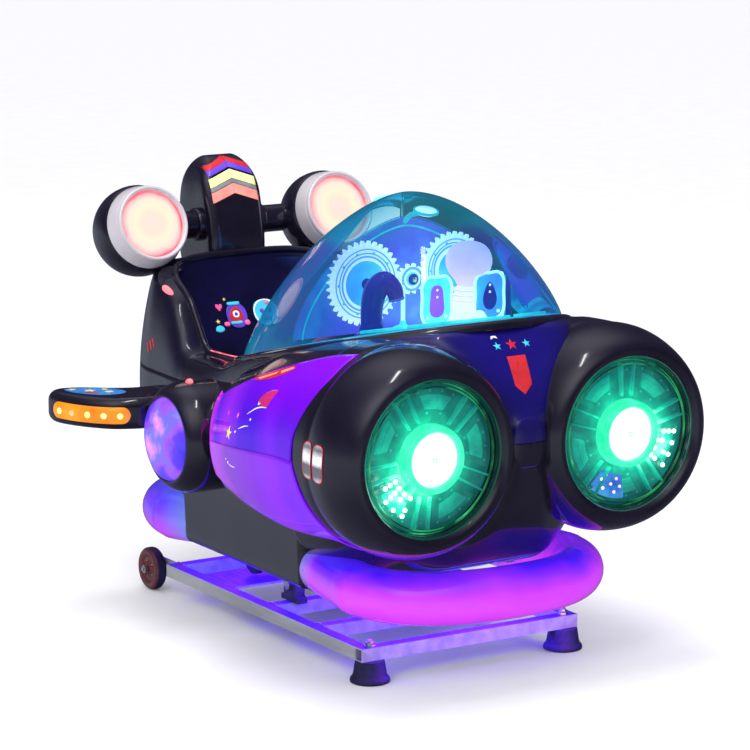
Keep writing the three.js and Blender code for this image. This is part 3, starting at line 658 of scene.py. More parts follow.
# y, then shoulder, top, waist, upper and lower waist heights, keel half width and keel height
STATIONS = [
    (-219, 25, 610, 45, 580, 530, 25, 500), (-195, 70, 682, 100, 600, 480, 50, 400),
    (-151, 140, 757, 165, 640, 450, 90, 320), (-108, 175, 793, 205, 660, 400, 120, 269),
    (0, 262, 784, 290, 650, 350, 170, 232), (120, 314, 758, 335, 640, 330, 200, 190),
    (235, 327, 729, 345, 627, 325, 214, 178), (258, 328, 723, 346, 625, 400, 0, 0),
    (300, 332, 713, 350, 620, 400, 0, 0), (480, 316, 665, 340, 590, 400, 0, 0),
    (640, 276, 622, 322, 575, 400, 0, 0), (700, 262, 619, 318, 570, 400, 0, 0),
    (790, 262, 617, 312, 575, 400, 0, 0), (812, 262, 630, 311, 578, 335, 229, 173),
    (845, 260, 675, 309, 590, 340, 226, 180), (890, 260, 732, 305, 610, 355, 220, 195),
    (940, 259, 764, 301, 630, 368, 214, 212), (980, 258, 788, 298, 640, 380, 210, 225),
    (1045, 228, 806, 284, 600, 400, 180, 290), (1090, 190, 790, 258, 600, 430, 140, 350),
    (1132, 135, 735, 200, 590, 460, 90, 430),
]
NOSE_Y, TAIL_Y = STATIONS[0][0], STATIONS[-1][0]
SEAM = 556  # the height of the seam between the two shells
# the cockpit's opening: its front, where it turns round, its back, the depth of its round end,
# and half its width
OPEN_FROM, OPEN_ROUND, OPEN_TO, OPEN_DEPTH, OPEN_HALF = 500.05, 935, 1043, 109, 228
SECTION_STEPS = 12  # fine points in each span of a section


def half_section(row):
    """The corners of one half section, from the top centre to the bottom centre.

    A keel of 0 marks the flat side panels.
    """
    _, shoulder, top, waist, upper, lower, keel, bottom = row
    points = [(0, top), (shoulder * .6, top), (shoulder, top - 3),
              (shoulder * .6 + waist * .4, top * .8 + upper * .2), (waist, upper), (waist, lower)]
    if keel:
        low = (waist * .45 + keel * .55, lower * .35 + bottom * .65)
        points += [((waist + low[0]) / 2, (lower + low[1]) / 2), low,
                   ((keel + low[0]) / 2, (bottom + low[1]) / 2), (keel, bottom), (keel * .6, bottom),
                   (0, bottom)]
    else:
        points += [(311, 345), (301, 270), (300, 190), (298, 160), (250, 158), (0, 158)]
    return points


CORNERS = np.array([np.array(half_section(row)).ravel() for row in STATIONS])
STATION_Y = [row[0] for row in STATIONS]


def hull_half(y):
    """The right half of the section at y, as a fine line of (x, z) from top to bottom."""
    half = pchip(STATION_Y, CORNERS, [y])[0].reshape(-1, 2)
    full = np.concatenate([half, (half * (-1, 1))[-2:0:-1]])
    return b_spline(full, SECTION_STEPS)[: SECTION_STEPS * (len(half) - 1) + 1]


def opening(y):
    """Half the width of the cockpit's opening at y."""
    if y < OPEN_FROM or y > OPEN_TO:
        return 0
    if y < OPEN_ROUND:
        return OPEN_HALF
    return OPEN_HALF * (1 - ((y - OPEN_ROUND) / OPEN_DEPTH) ** 2.6) ** .42


def cut_line(line, column, value, falling=True):
    """Where along a fine line its column first passes a value."""
    v = line[:, column]
    past = np.where(v <= value)[0] if falling else np.where(v >= value)[0]
    if not len(past):
        return len(line) - 1.0
    i = past[0]
    if i == 0:
        return 0.0
    return i - 1 + (value - v[i - 1]) / (v[i] - v[i - 1])


def stretch_of(line, start, end, count):
    """count points evenly along a fine line between two places on it."""
    inner = [i for i in range(len(line)) if start < i < end]
    at = np.array([start, *inner, end])
    grid = np.stack([np.interp(at, np.arange(len(line)), line[:, k]) for k in (0, 1)], 1)
    return even(grid, count)


def keel_cut(y):
    return float(np.interp(y, [-230, -100, 120, 900, 1040, 1140], [0, 0, 195, 195, 60, 0]))


def hull_rows():
    ys = np.concatenate([np.linspace(NOSE_Y, 235, 56)[:-1], np.linspace(235, 262, 8)[:-1],
                         np.linspace(262, 500, 22), np.linspace(500.1, 786, 26),
                         np.linspace(790, 815, 7), np.linspace(820, TAIL_Y, 56)])
    rows = []
    for y in ys:
        line = hull_half(y)
        wide = opening(y)
        if not wide:
            wide = min(OPEN_HALF, line[:, 0].max() * .66) if y < 501 else 0
        start = cut_line(line, 0, wide, falling=False) if wide else 0.0
        seam = cut_line(line, 1, SEAM)
        low = len(line) - 1
        cut = keel_cut(y)
        if cut:
            lower = [i for i in range(int(seam) + 1, len(line)) if line[i, 0] < cut]
            low = lower[0] if lower else low
        parts = [stretch_of(line, 0, start, 10), stretch_of(line, start, seam, 34),
                 stretch_of(line, seam, low, 40)]
        rows.append((y, parts))
    return rows


def mirrored(grid):
    return grid * np.array([-1, 1, 1])


def cap_rows(row, y, bulge):
    """Rows that close the hull beyond its first or last row, from that row outwards."""
    rows = []
    for a in np.linspace(0, math.pi / 2 * .999, 9)[1:]:
        s, c = math.sin(a), math.cos(a)
        rows.append(row * c + np.array([0, y, SEAM]) * (1 - c) + (0, bulge * s, 0))
    return rows


def hull():
    rows = hull_rows()
    parts = []
    for part in range(3):
        g = np.array([[(x, y, z) for x, z in lines[part]] for y, lines in rows])
        front, back = cap_rows(g[0], NOSE_Y, -14)[::-1], cap_rows(g[-1], TAIL_Y, 16)
        parts.append(np.concatenate([front, g, back]))
    top, side, lower = parts
    open_rows = [i for i, row in enumerate(top)
                 if OPEN_FROM < row[0, 1] < OPEN_TO + 1 and opening(row[0, 1])]
    points, faces = [], []
    for g in (top, side):
        for m in (g, mirrored(g)):
            start = len(points)
            points += list(m.reshape(-1, 3))
            for i in range(len(g) - 1):
                if g is top and i in open_rows:
                    continue
                for j in range(m.shape[1] - 1):
                    a, k = start + i * m.shape[1] + j, start + (i + 1) * m.shape[1] + j
                    faces.append((a, a + 1, k + 1, k))
    upper = piece("upper_hull", np.array(points), faces, HULL_BLACK, slot="gloss_black_shell",
                  stands_for=("upper_shell",))
    points, faces = [], []
    lower = lower - np.array([0, 0, 1.6])  # a shadow gap under the upper shell
    for m in (lower, mirrored(lower)):
        start = len(points)
        points += list(m.reshape(-1, 3))
        faces += [tuple(start + i for i in f) for f in grid_faces(*m.shape[:2])]
    under = piece("lower_hull", np.array(points), faces, BLACK, slot="gloss_black_shell",
                  stands_for=("lower_shell",))
    for o in (upper, under):
        solidify(o, 6)
    return upper


def surface_z(x, y):
    """The height of the hull's top at a place."""
    line = hull_half(y)
    return float(np.interp(cut_line(line, 0, max(abs(x), .01), falling=False), np.arange(len(line)),
                           line[:, 1]))


UPPER = hull()


def cockpit():
    """The rolled rim, the seat bucket and the foot well."""
    back = OPEN_ROUND + (OPEN_DEPTH - .6) * np.sin(np.linspace(.04, math.pi / 2, 30))
    left = [(-opening(y), y, surface_z(opening(y), y))
            for y in np.concatenate([np.linspace(502, OPEN_ROUND, 40), back])]
    rim = even(np.array(left + [(-x, y, z) for x, y, z in left[::-1]]), 150)
    rope("cockpit_rim", rim + (0, 0, 1), 8, BLACK, sides=18, slot="gloss_black_shell")
    seat_front, seat_floor = 722, 505
    seat_rim = np.array([p for p in rim if p[1] > seat_front])
    plan = rounded([(-212, seat_front), (-212, 922), (212, 922), (212, seat_front)], 70, 12)
    foot = even(np.concatenate([[(-212, seat_front)], plan[12:36], [(212, seat_front)]]), len(seat_rim))
    rows = []
    for t in np.linspace(0, 1, 26):
        ease = math.sin(t * math.pi / 2) ** 1.6
        fall = 1 - (1 - t ** .9) ** 1.25
        rows.append([(x * .985 + (fx - x * .985) * ease, y + (fy - y) * ease, z + (seat_floor - z) * fall)
                     for (x, y, z), (fx, fy) in zip(seat_rim, foot)])
    for t in np.linspace(.03, 1, 10):
        sag = seat_floor - 3 * math.sin(t * math.pi / 2)
        rows.append([(fx * (1 - t * .9), fy + (800 - fy) * t * .9 if fy > 730 else fy, sag)
                     for fx, fy in foot])
    bucket = sheet_piece("seat_bucket", np.array(rows), NAVY, slot="gloss_black_shell",
                         stands_for=("cockpit_tub",))
    solidify(bucket, 5, offset=1)
    corners = [(-222, 505), (-222, seat_front), (222, seat_front), (222, 505)]
    well = []
    for z, inset in ((640, 0), (560, 0), (505, 0), (420, 2), (356, 6), (342, 14), (337, 30), (336, 190)):
        plan = rounded([(x - math.copysign(inset, x), y + (inset if y < 600 else -inset) * .55)
                        for x, y in corners], 24, 8)
        well.append([(x, y, min(z, surface_z(min(abs(x), OPEN_HALF), min(max(y, 501), 720)) - 4))
                     for x, y in plan])
    sheet_piece("foot_well", np.array(well), NAVY, wrap=True, slot="gloss_black_shell")
    return bucket


BUCKET = cockpit()


# ---------- nacelles and headlamps ----------

LAMP = dict(x=256, z=548, face=-250)  # a headlamp's axis, and the y of its face
# y, then centre x, centre z and radius
CONE = [(-160, 256, 548, 234), (-20, 256, 545, 230), (200, 262, 521, 219), (350, 270, 499, 188),
        (500, 281, 479, 142), (590, 287, 470, 118), (660, 290, 466, 100)]
# y, then how far the black nacelle draws in behind the panel
TAPER = [(-160, 0), (390, 0), (404, 8), (434, 42), (540, 50), (660, 46)]
# a side pod's centre, radius, and the x of its root and rim
POD = dict(y=628, z=457, r=132, root=316, rim=440)
GROOVE = 238  # the panel's rear edge, as a radius about the side pod


def cone_at(y, turn, side, grow=0.0):
    """Points on the nacelle at y, turn radians up from level."""
    y = np.atleast_1d(np.asarray(y, float))
    x, z, r = pchip([c[0] for c in CONE], [c[1:] for c in CONE], y).T
    r = r + grow
    return np.stack([side * (x + r * np.cos(turn)), y, z + r * np.sin(turn)], 1)


# The violet panel's border: turn and y along the top, then the front, then the bottom
PANEL_TOP = [(-84, 66.5), (-23, 62.5), (38, 57.5), (98, 53), (173, 48.3), (246, 43.5), (346, 40),
             (422, 37), (520, 36)]
PANEL_LOW = [(-70, -74), (8, -72), (130, -69), (174, -62.5), (212, -50), (308, -39), (352, -30),
             (440, -22), (520, -20)]
PANEL_FRONT = [(-75, -62), (-66, -46), (-52, -28), (-40, -12), (-31, -1.5), (-33, 9), (-44, 19),
               (-66, 34.5), (-84, 50.5), (-84, 66.5)]


def fine_curve(points):
    """A smooth curve through (at, value) points, as two dense columns for np.interp."""
    points = sorted(points)
    at = np.arange(points[0][0], points[-1][0] + 1.0)
    return at, pchip([p[0] for p in points], [p[1] for p in points],
                     np.clip(at, points[0][0], points[-1][0]))


def panel_end(turn):
    """Where the panel ends behind, along a circle about the side pod."""
    z = 488 + 163 * math.sin(math.radians(turn))
    return POD["y"] - math.sqrt(max(GROOVE ** 2 - (z - POD["z"]) ** 2, 3600))


BORDER_TOP = fine_curve(PANEL_TOP)
BORDER_LOW = fine_curve(PANEL_LOW)
BORDER_FRONT = fine_curve([(turn, y) for y, turn in PANEL_FRONT])
PANEL_SEAM = fine_curve([(-75, -4.5), (-22, -3.5), (108, -2), (268, 0), (520, 3)])


PANEL_LIFT = 1.2  # how far the panel stands off the nacelle


def violet_panel(name, side, material, upper):
    """The part of the violet panel above or below its seam."""
    grid = []
    for b in np.linspace(0, 1, 60):
        row = []
        for a in np.linspace(0, 1, 30):
            y = 0.0
            for _ in range(4):
                seam = np.interp(y, *PANEL_SEAM)
                low, high = np.interp(y, *BORDER_LOW), seam - .25
                if upper:
                    low, high = seam + .25, np.interp(y, *BORDER_TOP)
                turn = low + (high - low) * a
                start = np.interp(turn, *BORDER_FRONT)
                y = start + (panel_end(turn) - start) * b
            row.append((y, turn))
        grid.append(cone_at([p[0] for p in row], np.radians([p[1] for p in row]), side, PANEL_LIFT))
    o = sheet_piece(name, np.array(grid), material, slot="violet_panel")
    solidify(o, 2, offset=0)
    return o


def violet(name, bright):
    """Violet film lit from inside: magenta by the side pod, deeper along the top."""
    m, tree, shade, _ = nodes_of(name)
    pods = [remap(tree, distance(tree, to_row((side * 438, 440, 500)), (.25, 1, .5)), .02, .42)
            for _, side in SIDES]
    value = cloudy(tree, add(tree, "Math", *pods, operation="MINIMUM").outputs[0], 5, 2, .12)
    if bright:
        stops = [(0, (.95, .10, 1)), (.12, (.52, .09, .90)), (.35, (.25, .06, .68)),
                 (.65, (.24, .03, .78)), (.85, (.28, .02, .98)), (1, (.20, .01, 1))]
    else:
        stops = [(0, (.95, .03, .95)), (.10, (.70, .02, .98)), (.2, (.12, 0, .85)),
                 (.32, (.34, .005, 1)), (.5, (.09, 0, .80)), (.68, (.075, 0, .78)), (.86, (.20, 0, 1)),
                 (1, (.12, 0, .8))]
    high = remap(tree, along(tree, (0, 0, 1)), .60, .74)
    colour = add(tree, "MixRGB", high, ramp(tree, value, stops), (.30, 0, 1, 1)).outputs[0]
    shine_out(tree, shade, colour, .95 if bright else .85, .16)
    varnish(shade, .45)
    shade.inputs["Specular IOR Level"].default_value = .3
    finish_surface(tree, shade, .2, .04, .03, 40)
    return m


VIOLET_HIGH = violet("violet_high", False)
VIOLET_LOW = violet("violet_low", True)
TEAL_STOPS = [(0, (.30, 1, .70)), (.10, (.02, .90, .55)), (.28, (.01, .50, .34)), (.6, (.007, .24, .20)),
              (1, (.004, .09, .095))]


def lamp_light(name, side, strength, shift=0.0):
    """Moulded green plastic, brightest at the hub and towards the lit corner."""
    m, tree, shade, _ = nodes_of(name)
    hub = to_row((side * LAMP["x"], LAMP["face"] + 10, LAMP["z"]))
    across, down = (-95, 75) if side < 0 else (100, 42)
    corner = to_row((side * LAMP["x"] + across, LAMP["face"] + 20, LAMP["z"] - down))
    value = remap(tree, distance(tree, hub), .048, .16)
    value = total(tree, value, remap(tree, distance(tree, corner), .0, .12, -.55, 0))
    value = cloudy(tree, value, 26, 3, .3)
    if shift:
        value = add(tree, "Math", value, shift, operation="ADD").outputs[0]
    shine_out(tree, shade, ramp(tree, value, TEAL_STOPS), strength, .4)
    varnish(shade, 1)
    finish_surface(tree, shade, .2, .05, .15, 160)
    return m


GROOVE_GLOW = lit("groove_glow", (8, 2), [(.3, (.95, .02, .85)), (.7, (.75, .02, 1))], 1.0)
HUB = lit("hub_disc", (12, 1), [(.3, (.80, 1, .95)), (.7, (.97, 1, 1))], 1.15)
HUB_MARK = lit("hub_mark", (30, 2), [(.3, (.45, .80, .72)), (.7, (.55, .9, .8))], .8)
HUB_RING = lit("hub_ring", (30, 2), [(.3, (.02, .85, .42)), (.7, (.08, 1, .58))], 1.0)
# the rim lines are dark green; their bright patches glow as painted highlights, the lens light caught on
# the bezel's edges
RIM_LINE = lit("rim_line", (14, 2),
               [(.40, (.004, .05, .02)), (.62, (.03, .42, .14)), (.72, (.2, .9, .45))], .6, rough=.12)
LED_WHITE = lit("led_white", (40, 1), [(.3, (.7, 1, .92)), (.7, (1, 1, 1))], 3.0)
LED_BLUE = lit("led_blue", (40, 1), [(.3, (.45, .35, 1)), (.7, (.9, .75, 1))], 2.0)
BLUE_PATCH = lit("led_backing", (40, 2), [(.3, (.03, .10, .55)), (.7, (.06, .32, .75))], .9)
GREEN_CLEAR = clear("lamp_cover", (.93, 1, .96), (.35, .75, .55), rough=.03, blend=.25)


def blobs(name, centres, r, material, flat=.6, axis=(0, 1, 0), body="hull", slot=None):
    """Small round lights or rivets: low domes in one mesh."""
    u, v, w = axis_frame(axis)
    points, faces = [], []
    for c in centres:
        start = len(points)
        rings = [(1, -.5)] + [(math.cos(a), math.sin(a)) for a in np.linspace(0, math.pi / 2 * .96, 5)]
        for out, high in rings:
            for turn in np.arange(14) / 14 * TAU:
                round_axis = u * math.cos(turn) + v * math.sin(turn)
                points.append(np.asarray(c, float) + round_axis * r * out + w * r * high * flat)
        faces += [tuple(start + i for i in f) for f in grid_faces(len(rings), 14, wrap=True)]
        faces.append(tuple(start + (len(rings) - 1) * 14 + i for i in range(14)))
        faces.append(tuple(start + i for i in range(14))[::-1])
    return piece(name, np.array(points), faces, material, body=body, slot=slot)


def headlamp(name, side):
    f = LAMP["face"]
    at = (side * LAMP["x"], 0, LAMP["z"])
    back = (0, 1, 0)
    outer = [(165.8, f + 62), (166, f + 40), (167, f + 24), (170.5, f + 12), (177, f + 4), (188, f),
             (198, f + 5), (208, f + 17), (217, f + 34), (225, f + 56), (231, f + 80), (234, f + 104),
             (233.4, f + 130), (230, f + 150), (228.6, f + 156), (229.6, f + 162), (231, f + 175),
             (230.4, f + 200), (229, f + 232)]
    shell = lathe("headlight_torus_" + name, spline(outer, 90), back, at, BLACK, sides=128,
                  slot="gloss_black_shell", stands_for=("headlight_shell_" + name,))
    solidify(shell, 4)
    rows = np.concatenate([[-18], np.linspace(-14, CONE[-1][0], 70)])
    turn = np.arange(112) / 112 * TAU
    pulled = np.interp(rows, *np.transpose(TAPER))
    grid = np.array([cone_at(np.full(112, y), turn, side, -k) for y, k in zip(rows, pulled)])
    tail = [grid[-1] * s + grid[-1].mean(0) * (1 - s) + (0, 30 * math.sin(math.acos(s)), 0)
            for s in (.97, .87, .7, .45, .1)]
    sheet_piece("nacelle_" + name, np.concatenate([grid, np.array(tail)]), BLACK, wrap=True,
                slot="gloss_black_shell")
    high = violet_panel("violet_high_" + name, side, VIOLET_HIGH, True)
    violet_panel("violet_low_" + name, side, VIOLET_LOW, False)
    groove = []
    for turn_at in np.linspace(-23, 44, 50):
        y = panel_end(turn_at)
        groove.append([cone_at([y + k], math.radians(turn_at), side, -d)[0]
                       for k, d in ((-3, 0), (3, 3), (8, 10), (11, 22), (12, 40))])
    solidify(sheet_piece("groove_light_" + name, np.array(groove), GROOVE_GLOW, slot="magenta_tube"),
             1.5, offset=0)
    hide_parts("nacelle_panel_" + name)

    # the lens, from the back forward: dish, windows, arms, hub, cover
    dish = [(0, f + 30), (60, f + 30), (66, f + 33), (110, f + 38), (150, f + 44), (165.4, f + 46)]
    plastic = lamp_light("lens_green_" + name, side, .8)
    raised = lamp_light("lens_raised_" + name, side, 1.1, shift=-.14)
    lathe("lens_dish_" + name, round_profile(dish), back, at, plastic, slot="teal_lens",
          stands_for=("headlight_lens_" + name,))
    hub = [(0, f + 9), (30, f + 9.2), (52, f + 9.8), (57, f + 11), (59.5, f + 14)]
    lathe("hub_" + name, round_profile(hub), back, at, HUB, slot="teal_lens")
    ring = [(59, f + 13), (60, f + 6), (63, f + 3.4), (67, f + 3.6), (69, f + 6), (71, f + 5.4),
            (74, f + 8), (75, f + 18), (76, f + 38)]
    lathe("hub_ring_" + name, round_profile(ring), back, at, HUB_RING, slot="teal_lens")
    lathe("hub_mark_" + name, [(3.2, f + 9.4), (3.2, f + 8), (5.4, f + 8), (5.4, f + 9.4)], back, at,
          HUB_MARK, sides=32, slot="teal_lens")
    start = 118 if side < 0 else 88
    centre = np.array([side * LAMP["x"], 0, LAMP["z"]])

    def polar(r, degrees, y):
        a = math.radians(degrees)
        return centre + (r * math.cos(a), y, r * math.sin(a))

    def across(degrees):
        """The directions out from the lamp's centre and round it."""
        a = math.radians(degrees)
        return (math.cos(a), 0, math.sin(a)), (-math.sin(a), 0, math.cos(a))

    bolts, rivets = [], []
    for k in range(5):
        arm = start + 72 * k
        u, v = across(arm)
        for j, off in enumerate((-13, 13)):
            outline = rounded([(82, off - 2.5), (156, off * 1.35 - 2.5), (156, off * 1.35 + 2.5),
                               (82, off + 2.5)], 2)
            slab(f"arm_{name}_{k}_{j}", outline, centre + (0, f + 43, 0), u, v, 17, raised, bevel=1.2,
                 slot="teal_lens")
        floor_plate = rounded([(84, -10), (154, -14), (154, 14), (84, 10)], 3)
        slab(f"arm_floor_{name}_{k}", floor_plate, centre + (0, f + 44, 0), u, v, 9, plastic, bevel=1,
             slot="teal_lens")
        bolts.append(polar(143, arm, f + 34))
        middle = arm + 36
        panes = ((92, 152, 24, 8, plastic), (106, 138, 17, 12, raised))
        for inner, outer_r, spread, depth, look in panes:
            edge = [(inner, d) for d in np.linspace(-spread * .72, spread * .72, 9)]
            edge += [(outer_r, d) for d in np.linspace(spread, -spread, 15)]
            slab(f"window_{name}_{k}_{depth}", rounded(fan(edge), 3, 3), centre + (0, f + 46, 0),
                 *across(middle), depth, look, bevel=1.2, slot="teal_lens")
        arc = [polar(124, middle + d, f + 33) for d in np.linspace(-13, 13, 12)]
        rope(f"window_arc_{name}_{k}", arc, 1.6, raised, sides=8, slot="teal_lens")
        rivets += [polar(146, middle + d, f + 37)
                   for d in (-18, -6, 6, 18)] + [polar(98, middle + d, f + 36) for d in (-10, 10)]
    blobs("lens_bolts_" + name, bolts, 6, plastic, axis=(0, -1, 0), slot="teal_lens")
    blobs("lens_rivets_" + name, rivets, 3, raised, axis=(0, -1, 0), slot="teal_lens")
    random.seed(4 + side)
    lit_at = 223 if side < 0 else -22
    leds = [polar(r, lit_at + d, f + 31) for r in (94, 108, 122, 136) for d in np.linspace(-17, 17, 4)
            if random.random() < .8]
    blobs("leds_" + name, leds, 5.2, LED_WHITE, axis=(0, -1, 0), slot="teal_lens")
    if side > 0:
        blue_at = -110
        edge = [(94, d) for d in np.linspace(-16, 16, 7)] + [(148, d) for d in np.linspace(20, -20, 11)]
        slab("blue_window", rounded(fan(edge), 4, 4), centre + (0, f + 34, 0), *across(blue_at), 2.5,
             BLUE_PATCH, bevel=1, slot="teal_lens")
        spots = [polar(r, blue_at + d, f + 30)
                 for r, d in ((102, -9), (104, 8), (116, -12), (118, 2), (121, 14), (132, -6), (134, 8))]
        blobs("blue_leds", spots, 3.6, LED_BLUE, axis=(0, -1, 0), slot="teal_lens")
    cover = [(0, f + .3), (60, f + .9), (100, f + 7), (135, f + 15), (153, f + 21), (157, f + 24)]
    lathe("lamp_cover_" + name, round_profile(cover), back, at, GREEN_CLEAR, slot="teal_lens")
    for r, y, thick in ((155.5, f + 22, 1.8), (163.5, f + 30, 1.5)):
        line = circle(centre + (0, y, 0), r, (1, 0, 0), (0, 0, 1), 128)
        rope(f"rim_line_{name}_{int(r)}", line, thick, RIM_LINE, sides=10, closed=True, up=(0, 1, 0),
             slot="teal_lens")


for _name, _side in SIDES:
    headlamp(_name, _side)


# ---------- light rings and side pods ----------

# a light ring's tube radius, height, half width, where its ends meet the hull, and how square its arc is
RING = dict(r=60, z=208, half=274, root=238, power=2.3)


def ring_light(name, at_y, reach):
    """A lit moulding: violet above, magenta below, pale blue at its two ends."""
    m, tree, shade, _ = nodes_of(name)
    value = cloudy(tree, remap(tree, along(tree, (0, 0, 1)), .148, .270), 4.5, 2, .35)
    if reach < 0:
        stops = [(0, (.66, .03, .90)), (.35, (.72, .06, 1)), (.62, (.60, .04, 1)), (.82, (.26, .02, 1)),
                 (1, (.06, .01, 1))]
    else:
        stops = [(0, (.62, .04, .80)), (.25, (.50, .05, 1)), (.55, (.22, .05, 1)), (.85, (.10, .05, 1)),
                 (1, (.09, .14, 1))]
    ends = remap(tree, along(tree, (0, 1, 0), to_row((0, at_y, 0))), -.075 if reach < 0 else .075, 0)
    share = remap(tree, ends, .1, 1, 0, .8)
    colour = add(tree, "MixRGB", share, ramp(tree, value, stops), (.14, .26, .72, 1)).outputs[0]
    shine_out(tree, shade, colour, .82, .3)
    varnish(shade, 1, .05)
    finish_surface(tree, shade, .25, .02, .01, 30)
    return m


def light_ring(name, y, reach, wall):
    turn = np.linspace(0, math.pi, 97)
    c, s = np.cos(turn), np.sin(turn)
    x = -np.sign(c) * RING["half"] * np.abs(c) ** (2 / RING["power"])
    arc = np.stack([x, y + reach * np.abs(s) ** (2 / RING["power"]), np.full(97, RING["z"])], 1)
    path = np.concatenate([[(-RING["root"], wall, RING["z"])], arc, [(RING["root"], wall, RING["z"])]])
    path = even(spline(path, 200), 150)
    grid = sweep(path, RING["r"] - .6, 48)
    caps = [[row.mean(0) + (row - row.mean(0)) * k for k in (.94, .5, .05)]
            for row in (grid[0], grid[-1])]
    rows = np.concatenate([caps[0][::-1], grid, caps[1]])
    ring = sheet_piece("light_ring_tube_" + name, rows, ring_light("ring_glow_" + name, wall, reach),
                       wrap=True, slot="magenta_tube", stands_for=("light_ring_" + name,))
    ring.visible_diffuse = False
    for side_name, side in SIDES:
        screw = (side * (RING["root"] + 60), wall + (-22 if reach < 0 else 22), RING["z"] + 6)
        lathe(f"ring_screw_{name}_{side_name}", [(0, 3.4), (3, 3.2), (5.6, 1.6), (6, 0), (6, -6)],
              (side, 0, .45), screw, BRIGHT, sides=24, slot="bright_steel")


light_ring("front", 46, -204, 256)
light_ring("rear", 872, 216, 796)

POD_LENS = lit("pod_lens", (9, 3),
               [(.28, (.03, .02, .60)), (.42, (.10, .04, .95)), (.50, (.30, .08, .95)),
                (.58, (.14, .14, 1)), (.68, (.75, .25, .85)), (.8, (.9, .75, 1))], .95, rough=.16)
POD_CORE = lit("pod_spots", (40, 2), [(.3, (.95, .25, .45)), (.7, (1, .8, .9))], 1.3)


def side_pod(name, side):
    at, out = (0, POD["y"], POD["z"]), (side, 0, 0)
    barrel = [(POD["r"] - 1, POD["root"] - 30), (POD["r"], POD["root"] + 20),
              (POD["r"] - .5, POD["rim"] - 66), (129, POD["rim"] - 42), (120, POD["rim"] - 20),
              (109, POD["rim"] - 6), (101, POD["rim"] - 1), (98, POD["rim"] - 3), (97, POD["rim"] - 10)]
    pod = lathe("pod_barrel_" + name, spline(barrel, 60), out, at, BLACK, sides=112,
                slot="gloss_black_shell", stands_for=("side_pod_" + name,))
    solidify(pod, 4)
    dome_r = [(97, POD["rim"] - 9), (96.4, POD["rim"] - 2), (90, POD["rim"] + 6), (74, POD["rim"] + 13),
              (48, POD["rim"] + 19), (20, POD["rim"] + 21.6), (0, POD["rim"] + 22)]
    lathe("pod_lens_" + name, spline(dome_r, 40), out, at, POD_LENS, sides=96, slot="violet_lens",
          stands_for=("side_lens_" + name,))
    spots = [(side * (POD["rim"] + 20 - (a * a + b * b) * .0022), POD["y"] + a, POD["z"] + b)
             for a, b in ((-22, 34), (18, 42), (38, 8), (24, -32), (-14, -40), (-42, -6), (2, 2))]
    blobs("pod_spots_" + name, spots, 4.6, POD_CORE, flat=.4, axis=out, slot="violet_lens")
    lathe("pod_marker_" + name, [(9, -4), (9, 2), (7, 5), (3.5, 7), (0, 7.4)], (side * .5, -.3, 1),
          (side * 380, POD["y"] - 12, POD["z"] + 131.4), NEON, sides=32, slot="red_plastic")


for _name, _side in SIDES:
    side_pod(_name, _side)


# ---------- wings ----------

LEADING = [(-472, 734), (-510, 752), (-546, 792), (-572, 842), (-588, 900)]
TRAILING = [(-590, 935), (-568, 956), (-520, 950), (-440, 902), (-380, 858), (-288, 850), (-288, 705)]
AMBER = lit("amber_lens", (16, 2), [(.3, (.80, .17, .003)), (.7, (1, .34, .012))], .85, rough=.2)
AMBER_LEDS = [(1, .42, .10), (1, .55, .14), (1, .72, .12), (1, .16, .03), (1, .75, .10)]
WING_LOW, WING_HIGH = 462, 538


def pillow(name, outline, origin, u, v, half, r, material, **more):
    """A thick plate whose whole edge is rounded to r. The outline is star shaped about its middle."""
    u, v = np.array(u, float), np.array(v, float)
    n = np.cross(u, v)
    flat = np.asarray(outline, float)
    middle = flat.mean(0)
    reach = np.linalg.norm(flat - middle, axis=1)[:, None]
    rows = []
    quarter = np.linspace(0, math.pi / 2, 10)
    for s, a in [(-1, t) for t in quarter[::-1]] + [(1, t) for t in quarter]:
        inset = r * (1 - math.cos(a))
        ring = middle + (flat - middle) * (1 - inset / reach)
        up = n * s * (half - r + r * math.sin(a))
        rows.append(np.array(origin, float) + ring[:, :1] * u + ring[:, 1:] * v + up)
    centre = np.array(origin, float) + middle[0] * u + middle[1] * v
    flats = (.75, .4, .02)
    low = [centre - n * half + (rows[0] - centre + n * half) * k for k in flats]
    high = [centre + n * half + (rows[-1] - centre - n * half) * k for k in flats]
    return sheet_piece(name, np.array(low[::-1] + rows + high), material, wrap=True, **more)


def star(x, y, r, turn=0.0):
    radii = (r, r * .42) * 5
    turns = [math.radians(90 + turn + 36 * k) for k in range(10)]
    return [(x + out * math.cos(a), y + out * math.sin(a)) for out, a in zip(radii, turns)]


def film(name, outlines, place, material, fine=6, slot=None):
    """Flat outlines laid as thin film where place(a, b) says, in millimetres."""
    made = bmesh.new()
    for outline in outlines:
        made.faces.new([made.verts.new((a, b, 0)) for a, b in outline])
    refine(made, fine)
    made.verts.index_update()
    points = [place(vert.co.x, vert.co.y) for vert in made.verts]
    faces = [[vert.index for vert in f.verts] for f in made.faces]
    made.free()
    solidify(piece(name, np.array(points), faces, material, slot=slot), .5, offset=0)


